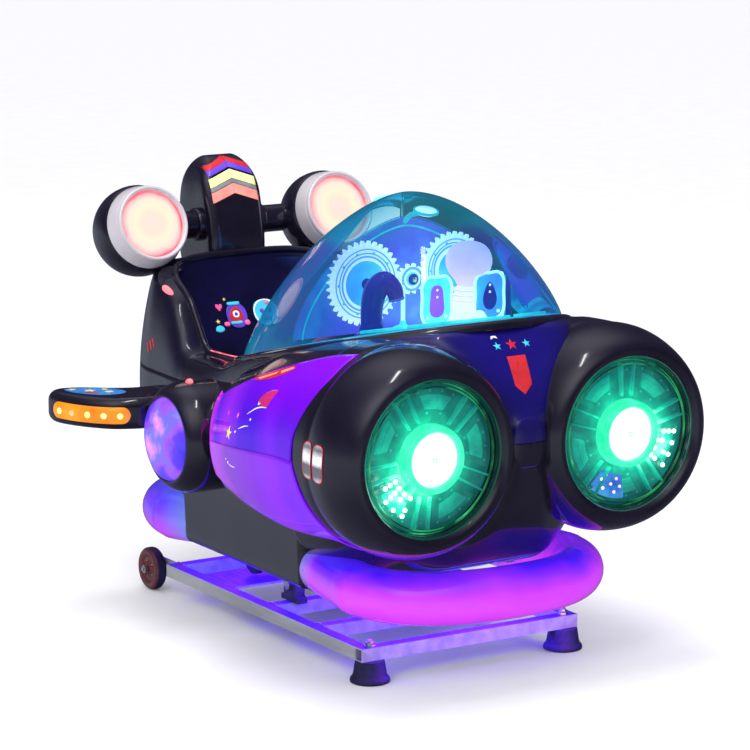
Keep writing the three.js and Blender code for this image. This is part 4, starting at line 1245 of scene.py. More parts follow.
def wing(name, side):
    middle = (WING_LOW + WING_HIGH) / 2
    plan = np.array([(-side * x, y) for x, y in [(-430, 722)] + LEADING + TRAILING])
    outline = b_spline(np.array(rounded(plan, 30, 4)), 4)
    pillow("wing_shell_" + name, outline, (0, 0, middle), (1, 0, 0), (0, 1, 0), 38, 24, BLACK,
           slot="gloss_black_shell", stands_for=("wing_" + name,))
    band = spline([(-side * x, y) for x, y in LEADING], 60)
    step = np.gradient(band, axis=0)
    outward = np.stack([step[:, 1], -step[:, 0]], 1)
    outward /= np.linalg.norm(outward, axis=1)[:, None]
    away = outward if (outward[30] @ (band[30] - (side * 400, 850))) > 0 else -outward
    path = np.array([(x, y, middle - 1) for x, y in band + away * 1.5])
    grid = []
    turns = np.arange(20) / 20 * TAU
    for i, p in enumerate(path):
        share = min(i, len(path) - 1 - i) * np.linalg.norm(path[1] - path[0])
        tall = 20 * min(1, math.sqrt(max(.02, 1 - (1 - min(share / 20, 1)) ** 2)))
        out = np.array([*away[i], 0])
        wide = [8 * np.sign(math.cos(t)) * abs(math.cos(t)) ** .7 * (tall / 20) for t in turns]
        grid.append([p + out * w + (0, 0, tall * math.sin(t)) for w, t in zip(wide, turns)])
    sheet_piece("amber_lens_" + name, np.array(grid), AMBER, wrap=True, slot="amber_lens",
                stands_for=("wing_lamp_" + name,))
    for k, (share, colour) in enumerate(zip((.12, .3, .49, .68, .87), AMBER_LEDS)):
        i = int(share * 59)
        paler = tuple(min(1, c + .15) for c in colour)
        glow = lit(f"led_{name}_{k}", (40, 1), [(.3, colour), (.7, paler)], 2.6)
        out = np.array([*away[i], 0])
        at = path[i] + out * 7.2
        blobs(f"amber_led_{name}_{k}", [at], 7.5, glow, flat=.45, axis=out, slot="amber_lens")
        line = circle(at, 11, (-out[1], out[0], 0), (0, 0, 1), 40)
        rope(f"led_ring_{name}_{k}", line, 1.2, AMBER, sides=8, closed=True, up=out, slot="amber_lens")
    top = WING_HIGH + .5
    sky = b_spline([(side * x, y)
                    for x, y in ((430, 800), (500, 800), (545, 850), (565, 925), (520, 925),
                                 (440, 872))], 8)
    film("wing_sky_" + name, [sky], lambda a, b: (a, b, top), STICKER["blue"], slot="gloss_black_shell")
    stars = [star(side * x, y, r, t)
             for x, y, r, t in ((474, 838, 13, 10), (508, 872, 16, 40), (538, 905, 11, 0),
                                (470, 868, 9, 25))]
    film("wing_stars_" + name, stars, lambda a, b: (a, b, top + .6), STICKER["yellow"],
         slot="gloss_black_shell")
    dart = [[(side * x, y) for x, y in ((500, 822), (522, 836), (530, 868), (516, 850))]]
    film("wing_dart_" + name, dart, lambda a, b: (a, b, top + .6), STICKER["red"],
         slot="gloss_black_shell")


for _name, _side in SIDES:
    wing(_name, _side)


# ---------- headrest and top lamps ----------

BAR = dict(y=1110, z=873, r=34)  # the bar that carries the top lamps
HEADREST_NARROWS = 940  # the height over which the headrest narrows
TOP_LAMP = dict(x=263, y=1008, z=901, tilt=math.radians(20))


def face_light(name, at):
    """A milky face: warm white in a ring, pinker in the middle and at the edge."""
    m, tree, shade, _ = nodes_of(name)
    value = cloudy(tree, remap(tree, distance(tree, to_row(at)), 0, .082), 14, 2, .1)
    colour = ramp(tree, value,
                  [(0, (1, .70, .64)), (.3, (1, .72, .60)), (.55, (1, .84, .62)), (.78, (1, .78, .66)),
                   (.93, (1, .46, .48)), (1, (.9, .14, .22))])
    tree.links.new(colour, shade.inputs["Emission Color"])
    shade.inputs["Emission Strength"].default_value = 1.05
    dim = ramp(tree, value, [(0, (.07, .06, .05)), (1, (.07, .03, .03))])
    tree.links.new(dim, shade.inputs["Base Color"])
    finish_surface(tree, shade, .45, .05, .05, 90)
    return m


def headrest():
    side_line = [(1060, 740), (1044, 790), (1041, 850), (1056, 917), (1080, 980), (1106, 1022),
                 (1150, 1043), (1192, 1028), (1216, 975), (1234, 890), (1234, 800), (1200, 720),
                 (1150, 690), (1080, 700)]
    outline = b_spline(side_line, 10)
    fin = pillow("headrest", outline, (0, 0, 0), (0, 1, 0), (0, 0, 1), 80, 28, BLACK,
                 slot="gloss_black_shell", stands_for=("headrest_fin",))
    for vert in fin.data.vertices:
        z = vert.co.z * 1000
        if z > HEADREST_NARROWS:
            vert.co.x *= 1 - .32 * ((z - HEADREST_NARROWS) / 95) ** 2.4
    bar = [(BAR["r"], h) for h in np.linspace(-236, 236, 9)]
    lathe("lamp_bar_tube", [(28, -238)] + bar + [(28, 238)], (1, 0, 0), (0, BAR["y"], BAR["z"]), BLACK,
          sides=64, slot="gloss_black_shell", stands_for=("lamp_bar",))
    for collar_name, side in SIDES:
        profile = [(34.2, -12), (39, -9), (41, -3), (41, 3), (39, 9), (34.2, 12)]
        lathe("bar_collar_" + collar_name, round_profile(profile, 4), (1, 0, 0),
              (side * 86, BAR["y"], BAR["z"]), BLACK, sides=64, slot="gloss_black_shell")
    tree = tree_of(fin)
    peak = 22
    bands = [("red", 1025, 12), ("violet", 1012, 13), ("pale", 986, 21), ("grey", 975, 10),
             ("salmon", 950, 24)]
    for k, (colour, top, tall) in enumerate(bands):
        low = top - peak
        at_foot, at_peak = low, low + peak
        cells = [[(-64, at_foot), (0, at_peak), (0, at_peak + tall), (-64, at_foot + tall)],
                 [(0, at_peak), (64, at_foot), (64, at_foot + tall), (0, at_peak + tall)]]
        drape(f"chevron_{k}_{colour}", cells, (0, 900, 0), (1, 0, 0), (0, 0, 1), tree, STICKER[colour],
              lift=.8, fine=5)


def top_lamp(name, side):
    tilt = TOP_LAMP["tilt"]
    out = (0, -math.cos(tilt), math.sin(tilt))
    at = (side * TOP_LAMP["x"], TOP_LAMP["y"], TOP_LAMP["z"])
    egg = [(93, -34), (101, -39), (108.4, -52), (111.4, -74), (110, -98), (102, -123), (86, -146),
           (60, -164), (29, -173.6), (0, -176)]
    lathe("lamp_egg_" + name, spline(egg, 60), out, at, BLACK, sides=112, slot="gloss_black_shell",
                  stands_for=("lamp_housing_" + name,))
    band = [(82, -10), (82.4, 2), (84, 7), (88, 9.6), (91.6, 8), (93, 4), (93.6, 0), (95.4, -4),
            (98.6, -18), (101.4, -34), (101.8, -41), (100, -44), (96, -44)]
    lathe("lamp_band_" + name, spline(band, 90), out, at, PEARL, sides=112, slot="pearl_ring",
          stands_for=("lamp_ring_" + name,))
    face = [(0, 3.5), (30, 3), (55, 1), (70, -1.6), (77, -4), (80, -7), (82, -9)]
    lathe("lamp_glow_" + name, spline(face, 50), out, at, face_light("lamp_glow_" + name, at), sides=96,
          slot="lamp_face", stands_for=("lamp_face_" + name,))
    line = circle(np.array(at) + np.array(out) * -3, 80.6, (1, 0, 0), np.cross(out, (1, 0, 0)), 96)
    rope("lamp_line_" + name, line, 1.3, NEON, sides=8, closed=True, up=out, slot="lamp_face")


headrest()
for _name, _side in SIDES:
    top_lamp(_name, _side)


# ---------- dome and its show ----------

# the dome's foot centre, its half width, its reach forward and back, its height, how far its top
# leans back, and the slope of its foot
DOME = dict(y=240, z=720, half=324, front=350, back=553, height=322, lean=52,
            slope=math.tan(math.radians(13.6)))
CUT = ((315, 1070), (635, 628))  # the line of the dome's open rear, as y and z


def dome_point(rise, turn, inset=0.0):
    wide = math.cos(rise) ** 1.12
    reach = DOME["front"] if math.sin(turn) < 0 else DOME["back"]
    y = (reach - inset) * wide * math.sin(turn)
    lean = DOME["lean"] * math.sin(rise) ** 2
    high = (DOME["height"] - inset) * math.sin(rise) ** 1.6
    x = (DOME["half"] - inset) * wide * math.cos(turn)
    return np.array([x, DOME["y"] + y + lean, DOME["z"] - y * DOME["slope"] + high])


def behind(p):
    (y0, z0), (y1, z1) = CUT
    return (p[1] - y0) * (z0 - z1) + (p[2] - z0) * (y1 - y0)


def rise_at(turn, inset=0.0):
    """Where a meridian enters the dome: its foot, or the rear cut."""
    low, high = 0.0, math.pi / 2
    if behind(dome_point(low, turn, inset)) < 0:
        return 0.0
    for _ in range(30):
        middle = (low + high) / 2
        low, high = (middle, high) if behind(dome_point(middle, turn, inset)) > 0 else (low, middle)
    return high


def dome_material():
    """Clear cyan acrylic, deeper where it is seen edge on, and there shining in cloudy cyan and blue:
    painted light, standing in for the show's light caught in the acrylic.
    """
    m, tree, shade, out = nodes_of("dome_cyan")
    tree.nodes.remove(shade)
    facing = add(tree, "LayerWeight", .42).outputs["Facing"]
    tint = ramp(tree, facing,
                [(.0, (.66, .93, 1)), (.4, (.46, .88, .99)), (.75, (.12, .62, .83)), (1, (.02, .32, .6))])
    value = cloudy(tree, remap(tree, along(tree, (0, 0, 1)), .72, 1.02), 5, 3, .6)
    cloud = ramp(tree, value,
                 [(0, (.03, .55, .95)), (.35, (.03, .28, .85)), (.6, (.10, .22, .85)),
                  (.8, (.03, .50, .80)), (1, (.02, .42, .62))])
    # painted light: seen edge on, the acrylic shines with the cloudy colours above
    body = add(tree, "MixShader", remap(tree, facing, .1, 1, .05, .85),
               add(tree, "BsdfTransparent", tint).outputs[0],
               add(tree, "Emission", cloud, .85).outputs[0])
    gloss_over(tree, body.outputs[0], out, (.9, .97, 1, 1), (.015, .04), 1.5)
    return m


def glow_sheet(name, stops, strength, scale, centre, reach=.3, spread=.5, rough=.45):
    """A lit surface whose colour falls away from a centre, in cloudy patches."""
    m, tree, shade, _ = nodes_of(name)
    value = cloudy(tree, remap(tree, distance(tree, to_row(centre)), 0, reach), scale, 3, spread)
    shine_out(tree, shade, ramp(tree, value, stops), strength, .3)
    shade.inputs["Specular IOR Level"].default_value = .25
    finish_surface(tree, shade, rough, .06, .05, 60)
    return m


def dome():
    turns = np.concatenate([np.linspace(-math.pi, 0, 65)[:-1], np.linspace(0, math.pi, 97)[:-1]])
    grid = []
    starts = [rise_at(t) for t in turns]
    for share in np.linspace(0, 1, 60):
        grid.append([dome_point(s + (math.pi / 2 * .998 - s) * share ** .85, t)
                     for s, t in zip(starts, turns)])
    top = dome_point(math.pi / 2, 0)
    grid.append([top + (p - top) * .3 for p in grid[-1]])
    glass = sheet_piece("dome_glass", np.array(grid), dome_material(), wrap=True, slot="blue_dome",
                        stands_for=("dome",))
    glass.visible_shadow = False
    # painted light: the acrylic's rear edge shines cyan, brightest high up, as the show's light caught in
    # it
    edge_look = glow_sheet("dome_edge", [(0, (.10, .72, .95)), (.5, (.25, .85, 1)), (1, (.75, 1, 1))],
                           .8, 9, (0, 420, 900), .5)
    cut_turns = [t for t, s in zip(turns, starts) if s > 0]
    cut_turns = np.linspace(cut_turns[0], cut_turns[-1], 120)
    edge = np.array([dome_point(rise_at(t), t) for t in cut_turns])
    rope("dome_rear_edge", edge, 5.5, edge_look, sides=14, up=(0, .65, .76), slot="blue_dome")
    inner = np.array([dome_point(rise_at(t, 16), t, 16) for t in cut_turns])
    flange_look = clear("dome_flange", (.35, .85, .95), (.1, .5, .8))
    solidify(sheet_piece("dome_rear_flange", np.stack([edge, inner]), flange_look, slot="blue_dome"), 2,
             offset=0)
    left = [t for t in turns if t > math.pi / 2 and rise_at(t) == 0]
    right = [t for t in turns if 0 <= t < math.pi / 2 and rise_at(t) == 0]
    round_front = left + [t for t in turns if t < 0] + right
    foot = even(np.array([dome_point(0, t) for t in round_front]), 160)
    outward = foot - np.array([0, DOME["y"], 0])
    outward[:, 2] = 0
    outward /= np.linalg.norm(outward, axis=1)[:, None]
    lip = foot + outward * 6 + np.array([0, 0, -8])
    rope("hood_lip", lip, 19, BLACK, sides=24, squash=.66, slot="gloss_black_shell")
    rope("dome_seat", foot + outward * -4 + np.array([0, 0, 4]), 1.7, TEAL_GLOW, sides=12,
         slot="blue_dome")


def deck():
    """The lit floor under the dome, laid just over the hull's top."""
    rows = []
    for share in np.linspace(0.02, .97, 24):
        row = []
        for t in np.linspace(0, TAU, 73)[:-1]:
            reach = (DOME["front"] if math.sin(t) < 0 else 240) * share
            x, y = (DOME["half"] - 6) * share * math.cos(t), DOME["y"] + reach * math.sin(t)
            over_hull = surface_z(min(abs(x), 300), min(max(y, -100), 490))
            row.append((x, y, max(over_hull, DOME["z"] - (y - DOME["y"]) * DOME["slope"] - 12) + 2))
        rows.append(row)
    look = glow_sheet("deck_glow",
                      [(0, (.55, .95, 1)), (.22, (.05, .75, .85)), (.42, (.01, .42, .60)),
                       (.62, (.01, .16, .42)), (.8, (.01, .05, .26)), (1, (.02, .02, .16))], .9, 9,
                       (120, 150, 760), .46, .75)
    sheet_piece("dome_deck", np.array(rows), look, wrap=True, slot="blue_dome")


def gear_outline(radius, teeth, phase):
    tall, points = 10, []
    for k in range(teeth):
        for share, r in ((-.29, -.50), (-.19, .05), (-.07, .45), (.07, .45), (.19, .05), (.29, -.50)):
            turn = phase + (k + share) * TAU / teeth
            points.append(((radius + r * tall) * math.cos(turn), (radius + r * tall) * math.sin(turn)))
    return points


GEAR_WHITE = glow_sheet("gear_white",
                        [(0, (.6, .9, 1)), (.5, (.76, .9, 1)), (.8, (.9, .84, 1)), (1, (.95, .78, 1))],
                        1.2, 16, (120, 259, 800), .36, .4)
GEAR_BLUE = glow_sheet("gear_blue", [(0, (.12, .72, 1)), (.5, (.06, .42, .98)), (1, (.08, .2, .8))], 1.1,
                       20, (0, 250, 800), .3, .4)
GEAR_LINE = glow_sheet("gear_line", [(0, (.20, .55, .95)), (1, (.16, .35, .9))], .8, 20, (0, 250, 800),
                       .3, .4)
PALE_GLOW = glow_sheet("pale_glow", [(0, (1, 1, 1)), (.5, (.85, .98, 1)), (1, (.5, .88, 1))], 1.35, 12,
                       (120, 230, 800), .14, .3)
PINK_GLOW = glow_sheet("pink_glow", [(0, (1, .62, .88)), (.5, (.95, .52, .92)), (1, (.62, .42, .98))],
                       1.25, 12, (122, 205, 815), .11, .35)
DEEP_BLUE = glow_sheet("deep_blue", [(0, (.03, .04, .75)), (.5, (.015, .02, .42)), (1, (.06, .02, .5))],
                       .25, 10, (-140, 200, 790), .1, .6, rough=.12)
GLASS_BLUE = glow_sheet("arch_blue",
                        [(0, (.35, .75, 1)), (.25, (.12, .28, 1)), (.5, (.12, .08, .80)),
                         (.75, (.05, .09, .55)), (1, (.05, .30, .75))], .8, 6, (90, 285, 780), .34, .6)
TEAL_GLOW = glow_sheet("teal_glow", [(0, (.15, 1, .85)), (.5, (.03, .75, .72)), (1, (.01, .45, .62))],
                       .95, 20, (0, 100, 780), .3, .6)
VIOLET_GLOW = glow_sheet("violet_glow", [(0, (.5, .10, .95)), (1, (.3, .06, .75))], .9, 14,
                         (0, 160, 810), .1, .4)


GEAR_MODULE = 5.3
GEAR_PHASE = {"gear_left": 0.0, "gear_small": math.pi / 12, "gear_right": math.radians(-170.21)}


def show_gear(name, box_name, body, teeth, hub):
    """A toothed ring with raised rings, a blue disc and a hub, turning on its own body."""
    low, high = box_mm(box_name)
    centre = (low + high) / 2
    radius = GEAR_MODULE * teeth / 2
    front = low[1]
    outline = gear_outline(radius - .6, teeth, GEAR_PHASE[box_name])
    slab(name, outline, (centre[0], front + 13.5, centre[2]), (1, 0, 0), (0, 0, 1), 13, GEAR_WHITE,
         bevel=1, segments=2, body=body, slot="show_gear", stands_for=(box_name,))
    at = (centre[0], 0, centre[2])
    for k, (share, thick) in enumerate(((.84, 1.6), (.74, 1.6), (.66, 2.2))):
        if radius * share < 22 and k:
            continue
        ring = circle((centre[0], front - .3, centre[2]), radius * share, (1, 0, 0), (0, 0, 1), 80)
        rope(f"{name}_line_{k}", ring, thick, GEAR_LINE, sides=8, closed=True, up=(0, 1, 0), body=body,
             slot="show_gear")
    disc = [(0, front - 4), (radius * hub * .8, front - 4), (radius * hub, front - 2),
            (radius * hub, front + 3)]
    lathe(name + "_disc", disc, (0, 1, 0), at, GEAR_BLUE, sides=64, body=body, slot="show_gear")
    cap = [(0, front - 11), (8, front - 10.5), (12, front - 8), (13, front - 3)]
    lathe(name + "_cap", round_profile(cap, 4), (0, 1, 0), at, DEEP_BLUE, sides=40, body=body,
          slot="show_gear")
    if radius > 60:
        spots = circle((centre[0], front - .2, centre[2]), radius * .76, (1, 0, 0), (0, 0, 1), 10)
        blobs(name + "_rivets", spots, 3.4, GEAR_BLUE, axis=(0, -1, 0), body=body, slot="show_gear")
    return centre


def show():
    arch_foot = 729
    arch = [(math.copysign(abs(math.cos(t)) ** 1.25, math.cos(t)) * 291,
             arch_foot + 255 * math.sin(t) ** 1.25) for t in np.linspace(0, math.pi, 90)]
    slab("show_backplate", arch, (0, 290, 0), (1, 0, 0), (0, 0, 1), 6, GLASS_BLUE, bevel=1,
         slot="blue_dome", stands_for=("gear_backplate",))
    line = np.array([(x, 286, z) for x, z in arch])
    rope("arch_line", line, 4.5, clear("arch_line", (.55, .95, 1), (.7, 1, 1), rough=.1), sides=10,
         up=(0, 1, 0), slot="blue_dome")
    inner = np.array([(x * .93, 284, arch_foot + (z - arch_foot) * .93) for x, z in arch])
    rope("arch_line_inner", inner, 2.2, TEAL_GLOW, sides=8, up=(0, 1, 0), slot="blue_dome")
    gears = {"left": ("gear_a", 35, .56), "small": ("gear_b", 12, .5), "right": ("gear_c", 31, .5)}
    places = {name: show_gear("gear_ring_" + name, "gear_" + name, *gear) for name, gear in gears.items()}
    for name, at in places.items():
        lathe("gear_pin_" + name, [(0, 247), (6, 247.4), (7.4, 250), (7.4, 288)], (0, 1, 0),
              (at[0], 0, at[2]), BRIGHT, sides=32, slot="bright_steel")
    # a soft round lamp in front of the right gear
    bulb = [(0, 64), (22, 62), (40, 52), (51, 34), (53, 14), (46, -6), (34, -22), (27, -34), (25, -40)]
    bulb_at = (122, 205, 866)
    lathe("show_bulb", spline(bulb, 50), (0, 0, 1), bulb_at, PINK_GLOW, sides=64, slot="lamp_face")
    base = [(25, -36), (30, -44), (33, -58), (34, -72), (40, -84), (46, -100), (46, -118), (0, -118)]
    lathe("show_bulb_base", spline(base, 50), (0, 0, 1), bulb_at, PALE_GLOW, sides=64, slot="lamp_face")
    for k, z in enumerate((-46, -58, -70)):
        ring = circle(np.array(bulb_at) + (0, 0, z), 34.5, (1, 0, 0), (0, 1, 0), 64)
        rope(f"show_bulb_thread_{k}", ring, 2.2, PINK_GLOW, sides=8, closed=True, slot="lamp_face")
    # two outlined plaques, each with a plain shape on it
    for name, (x, z), tall, mark in (("left", (8, 812), 62, "shield"), ("right", (150, 812), 60, "drop")):
        base_outline = np.array([(-34, -64), (34, -64), (44, -30), (38, 6), (44, 34), (26, 58), (0, 50),
                                 (-26, 58), (-44, 34), (-38, 6), (-44, -30)])
        shape = b_spline(base_outline * (1, tall / 62), 6)
        slab("plaque_" + name, shape, (x, 168, z), (1, 0, 0), (0, 0, 1), 5,
             GEAR_BLUE if mark == "drop" else TEAL_GLOW, bevel=1, slot="show_gear")
        rope("plaque_outline_" + name, [(x + a * .97, 162.5, z + b * .97) for a, b in shape], 3.6,
             PALE_GLOW, sides=10, closed=True, up=(0, 1, 0), slot="show_gear")
        if mark == "shield":
            figure = b_spline([(-16, 30), (0, 34), (16, 30), (17, 0), (22, -34), (0, -44), (-22, -34),
                               (-17, 0)], 6)
            look = VIOLET_GLOW
        else:
            figure = b_spline([(0, 36), (13, 14), (22, -12), (14, -34), (-8, -38), (-20, -16),
                               (-14, 10)], 6)
            look = DEEP_BLUE
        slab("plaque_mark_" + name, figure, (x, 163, z), (1, 0, 0), (0, 0, 1), 3, look, bevel=1,
             slot="show_gear")
        blobs("plaque_dots_" + name,
              [(x + a, 161.5, z + b) for a, b in ((0, 22), (0, 6), (-24, -40), (24, -40))], 4, PALE_GLOW,
              axis=(0, -1, 0), slot="show_gear")
    # the dark post in front of the left gear, with its elbow and open end
    post = [(-142, 196, 745), (-144, 196, 775), (-143, 194, 812), (-136, 188, 845), (-122, 178, 862),
            (-104, 168, 846), (-98, 164, 822)]
    line = spline(post, 60)
    radius = np.interp(np.linspace(0, 1, 60), [0, .3, .55, .8, 1], [24, 25, 27, 22, 17])
    sheet_piece("show_elbow", sweep(line, radius, 36), DEEP_BLUE, wrap=True, slot="violet_lens")
    lathe("show_elbow_mouth", [(17.4, -3), (19, 0), (17, 3), (13, 2), (11, -4), (0, -5)],
          line[-1] - line[-2], line[-1], GLASS_BLUE, sides=40, slot="violet_lens")
    lathe("show_elbow_foot", round_profile([(24, 26), (27, 20), (30, 8), (38, 2), (40, -4)], 5),
          (0, 0, 1), (-142, 196, 742), DEEP_BLUE, sides=48, slot="violet_lens")
    rope("show_post", [(-58, 200, 742), (-58, 200, 840)], 5, PALE_GLOW, sides=16, up=(0, 1, 0),
         slot="lamp_face")
    lathe("show_post_foot", round_profile([(6, 22), (9, 12), (22, 6), (24, 0)], 5), (0, 0, 1),
          (-58, 200, 744), TEAL_GLOW, sides=40, slot="show_gear")
    # the column and its upright light on the right
    column = rounded([(-28, -90), (28, -90), (25, -6), (12, 24), (-10, 28), (-24, 0)], 14, 6)
    slab("show_column", column, (242, 268, 822), (1, 0, 0), (0, 0, 1), 22, DEEP_BLUE, bevel=5,
         slot="violet_lens")
    rope("show_tube", [(228, 232, 748), (228, 232, 842)], 7, WHITE_GLOW, sides=20, up=(0, 1, 0),
         slot="lamp_face")
    rope("show_tube_edge", [(240, 236, 748), (240, 236, 836)], 4, TEAL_GLOW, sides=16, up=(0, 1, 0),
         slot="lamp_face")
    pads = ((-205, 60, 46, 26), (-90, 20, 70, 20), (30, 0, 60, 22), (-20, 110, 36, 22), (95, 90, 44, 26),
            (190, 60, 34, 26))
    for k, (x, y, w, d) in enumerate(pads):
        pad = rounded([(-w, -d), (w, -d), (w * .9, d), (-w * .9, d)], 14, 6)
        z = surface_z(abs(x), y)
        slab(f"deck_pad_{k}", pad, (x, y, z + 2), (1, 0, 0), (0, 1, -.2), 7,
             PALE_GLOW if k == 4 else TEAL_GLOW, bevel=2, slot="show_gear")
    # the lamp under the top of the dome, on an arm from the arch
    lamp_up, lamp_at = (0, -.24, .97), (2, 200, 1004)
    arm = spline([(0, 284, 976), (0, 262, 992), (1, 232, 1000), (2, 204, 1002)], 24)
    rope("dome_top_arm", arm, 6, TEAL_GLOW, sides=14, slot="blue_dome")
    lathe("dome_top_lamp", [(0, -2), (20, -1.6), (25, 1.5), (25.5, 6), (22, 9), (0, 9)], lamp_up,
          lamp_at, WHITE_GLOW, sides=64, slot="lamp_face")
    lathe("dome_top_ring", [(25.8, 2), (29, 3), (29.4, 7), (26, 9)], lamp_up, lamp_at, TEAL_GLOW,
          sides=64, slot="blue_dome")


dome()
deck()
show()


# ---------- trim and films ----------

def on_nacelle(side, y, turn, grow=3.0):
    """A place function for films: a runs forward to back, b runs up the nacelle."""
    r = cone_at([y], 0, side)[0, 0] * side - LAMP["x"]

    def place(a, b):
        return cone_at([y + a], math.radians(turn) + b / r, side, grow)[0]
    return place


def on_torus(side, y, turn, grow=1.2):
    at = [-230, -202, -172, -146, -120, -100, -88, -75, -50, -18]
    radius = [208, 225, 231, 234, 233.4, 230, 229.2, 231, 230.4, 229]

    def place(a, b):
        r = np.interp(y + a, at, radius) + grow
        t = math.radians(turn) + b / 230
        return np.array([side * (LAMP["x"] + r * math.cos(t)), y + a, LAMP["z"] + r * math.sin(t)])
    return place


def pill(x, y, w, h, lean=0.0):
    corners = [(x - w + lean * -h, y - h), (x + w + lean * -h, y - h), (x + w + lean * h, y + h),
               (x - w + lean * h, y + h)]
    return rounded(corners, w * .95, 6)


def arc_band(x, y, r, width, start, stop):
    turns = np.radians(np.linspace(start, stop, 14))
    outer = [(x + r * math.cos(t), y + r * math.sin(t)) for t in turns]
    return outer + [(x + (r - width) * math.cos(t), y + (r - width) * math.sin(t)) for t in turns[::-1]]


def ring_cells(x, y, r, width):
    return [arc_band(x, y, r, width, turn, turn + 90) for turn in (0, 90, 180, 270)]


def stroke(points, wide):
    """A thin band along a curve, tapering to its ends."""
    line = spline(points, 14)
    step = np.gradient(line, axis=0)
    side = np.stack([-step[:, 1], step[:, 0]], 1) / np.linalg.norm(step, axis=1)[:, None]
    half = side * (np.sin(np.linspace(.25, math.pi - .25, 14)) * wide / 2)[:, None]
    return np.concatenate([line + half, (line - half)[::-1]])


def bar_silver():
    """Brushed silver film with painted reflection: dark and bright bands across its height stand in for
    chrome mirroring the floor and room.
    """
    m, tree, shade, _ = nodes_of("bar_silver")
    value = cloudy(tree, remap(tree, along(tree, (0, 0, 1)), .506, .590), 90, 3, .05)
    # painted reflection: the bands by height stand in for the room mirrored in the film
    colour = ramp(tree, value,
                  [(0, (.55, .56, .6)), (.16, (.12, .12, .14)), (.4, (.10, .10, .12)),
                   (.5, (.75, .77, .82)), (.62, (.85, .87, .9)), (.85, (.10, .10, .12)),
                   (1, (.35, .36, .4))])
    tree.links.new(colour, shade.inputs["Base Color"])
    shade.inputs["Coat Weight"].default_value = .6
    finish_surface(tree, shade, .3, .04, .02, 90)
    return m


BAR_SILVER = bar_silver()


def nacelle_films():
    for name, side in SIDES:
        slot = "violet_panel"
        film("nacelle_star_" + name, [star(0, 0, 17, 12)], on_nacelle(side, 262, 8), STICKER["yellow"],
             slot=slot)
        film("nacelle_spark_" + name, [star(-34, 40, 8, 20), star(26, 48, 6, 0)],
             on_nacelle(side, 262, 8), STICKER["pink"], slot=slot)
        leaf = [(-38, 30), (-8, 28), (20, 19), (34, 1), (10, -10), (-15, -18), (-24, 4)]
        film("nacelle_dart_" + name, [rounded(leaf, 9, 4)], on_nacelle(side, 122, 27),
             STICKER["crimson"], slot=slot)
        flash = [(124, 60), (90, 72), (30, 85), (-26, 97), (-42, 88), (-18, 72), (32, 58), (80, 55)]
        film("nacelle_flash_" + name, [rounded(flash, 14, 4)], on_nacelle(side, 122, 27), STICKER["red"],
             slot=slot)
        streaks = [[(96, 62), (20, 78), (24, 72), (80, 58)], [(12, 80), (-28, 92), (-34, 86), (4, 73)]]
        film("nacelle_flash_streaks_" + name, streaks, on_nacelle(side, 122, 27, 3.4), STICKER["salmon"],
             slot=slot)
        trails = [stroke([(-16, -14), (8, -13), (32, -17), (62, -30)], 3),
                  stroke([(44, -57), (62, -58), (90, -65)], 2.6)]
        film("nacelle_trail_" + name, trails, on_nacelle(side, 122, 27), STICKER["white"], slot=slot)
        dots = [pill(x, y, r, r)
                for x, y, r in ((24, -4, 4), (40, -42, 2.6), (103, -72, 2.8), (150, -148, 3),
                                (160, -140, 2))]
        dots.append(stroke([(150, -150), (132, -156), (112, -157)], 2.4))
        film("nacelle_dots_" + name, dots, on_nacelle(side, 122, 27), STICKER["white"], slot=slot)
        # two upright bars on the black band
        black = "gloss_black_shell"
        for grow, w, h, look in ((1.2, 20, 42, STICKER["red"]), (1.6, 17.6, 39.6, BAR_SILVER)):
            film(f"race_bars_{name}_{w:.0f}", [pill(-23, 0, w, h, -.05), pill(23, 0, w, h, -.05)],
                 on_torus(side, -122, 0, grow), look, slot=black, fine=5)


def hull_films():
    nose = tree_of(UPPER)
    up = (0, .66, .75)
    drape("nose_star_middle", [star(0, 0, 15)], (0, -149, 759), (1, 0, 0), up, nose, STICKER["red"])
    drape("nose_stars_side", [star(-38, -1, 10.5), star(38, -1, 10.5)], (0, -149, 759), (1, 0, 0), up,
          nose, STICKER["cyan"])
    drape("nose_mark", [rounded([(-9, -4), (0, 1), (9, -3), (6, 5), (-6, 5)], 2, 3)], (-38, -138, 777),
          (1, 0, 0), up, nose, STICKER["white"])
    front = (0, .4, .92)
    shield = [(-24, 51), (24, 51), (22, -16), (0, -37), (-22, -16)]
    drape("nose_shield", [shield], (0, -186, 690), (1, 0, 0), front, nose, STICKER["red"])
    for name, side in SIDES:
        slashes = [[(a, b), (a + 7, b), (a + 17, b + 22), (a + 10, b + 22)]
                   for a, b in ((-18, -6), (-4, -12), (10, -20))]
        flip = [[(x * side, y) for x, y in s] for s in slashes]
        drape("side_slashes_" + name, flip, (side * 260, 960, 615), (0, side, 0), (0, 0, 1), nose,
              STICKER["red"])
        glow = b_spline([(-5, -18), (6, -20), (8, -4), (5, 15), (-4, 20), (-9, 8)], 6)
        drape("shoulder_light_" + name, [glow], (side * 262, 937, 748), (1, 0, 0), (0, .55, .83), nose,
              NEON, lift=1.5, thick=2)
    # the red light along each side of the foot well
    for name, side in SIDES:
        path = [(side * 231, y, surface_z(228, y) + 7) for y in np.linspace(640, 780, 26)]
        rope("side_neon_" + name, path, 2.2, NEON, sides=14, slot="red_plastic")


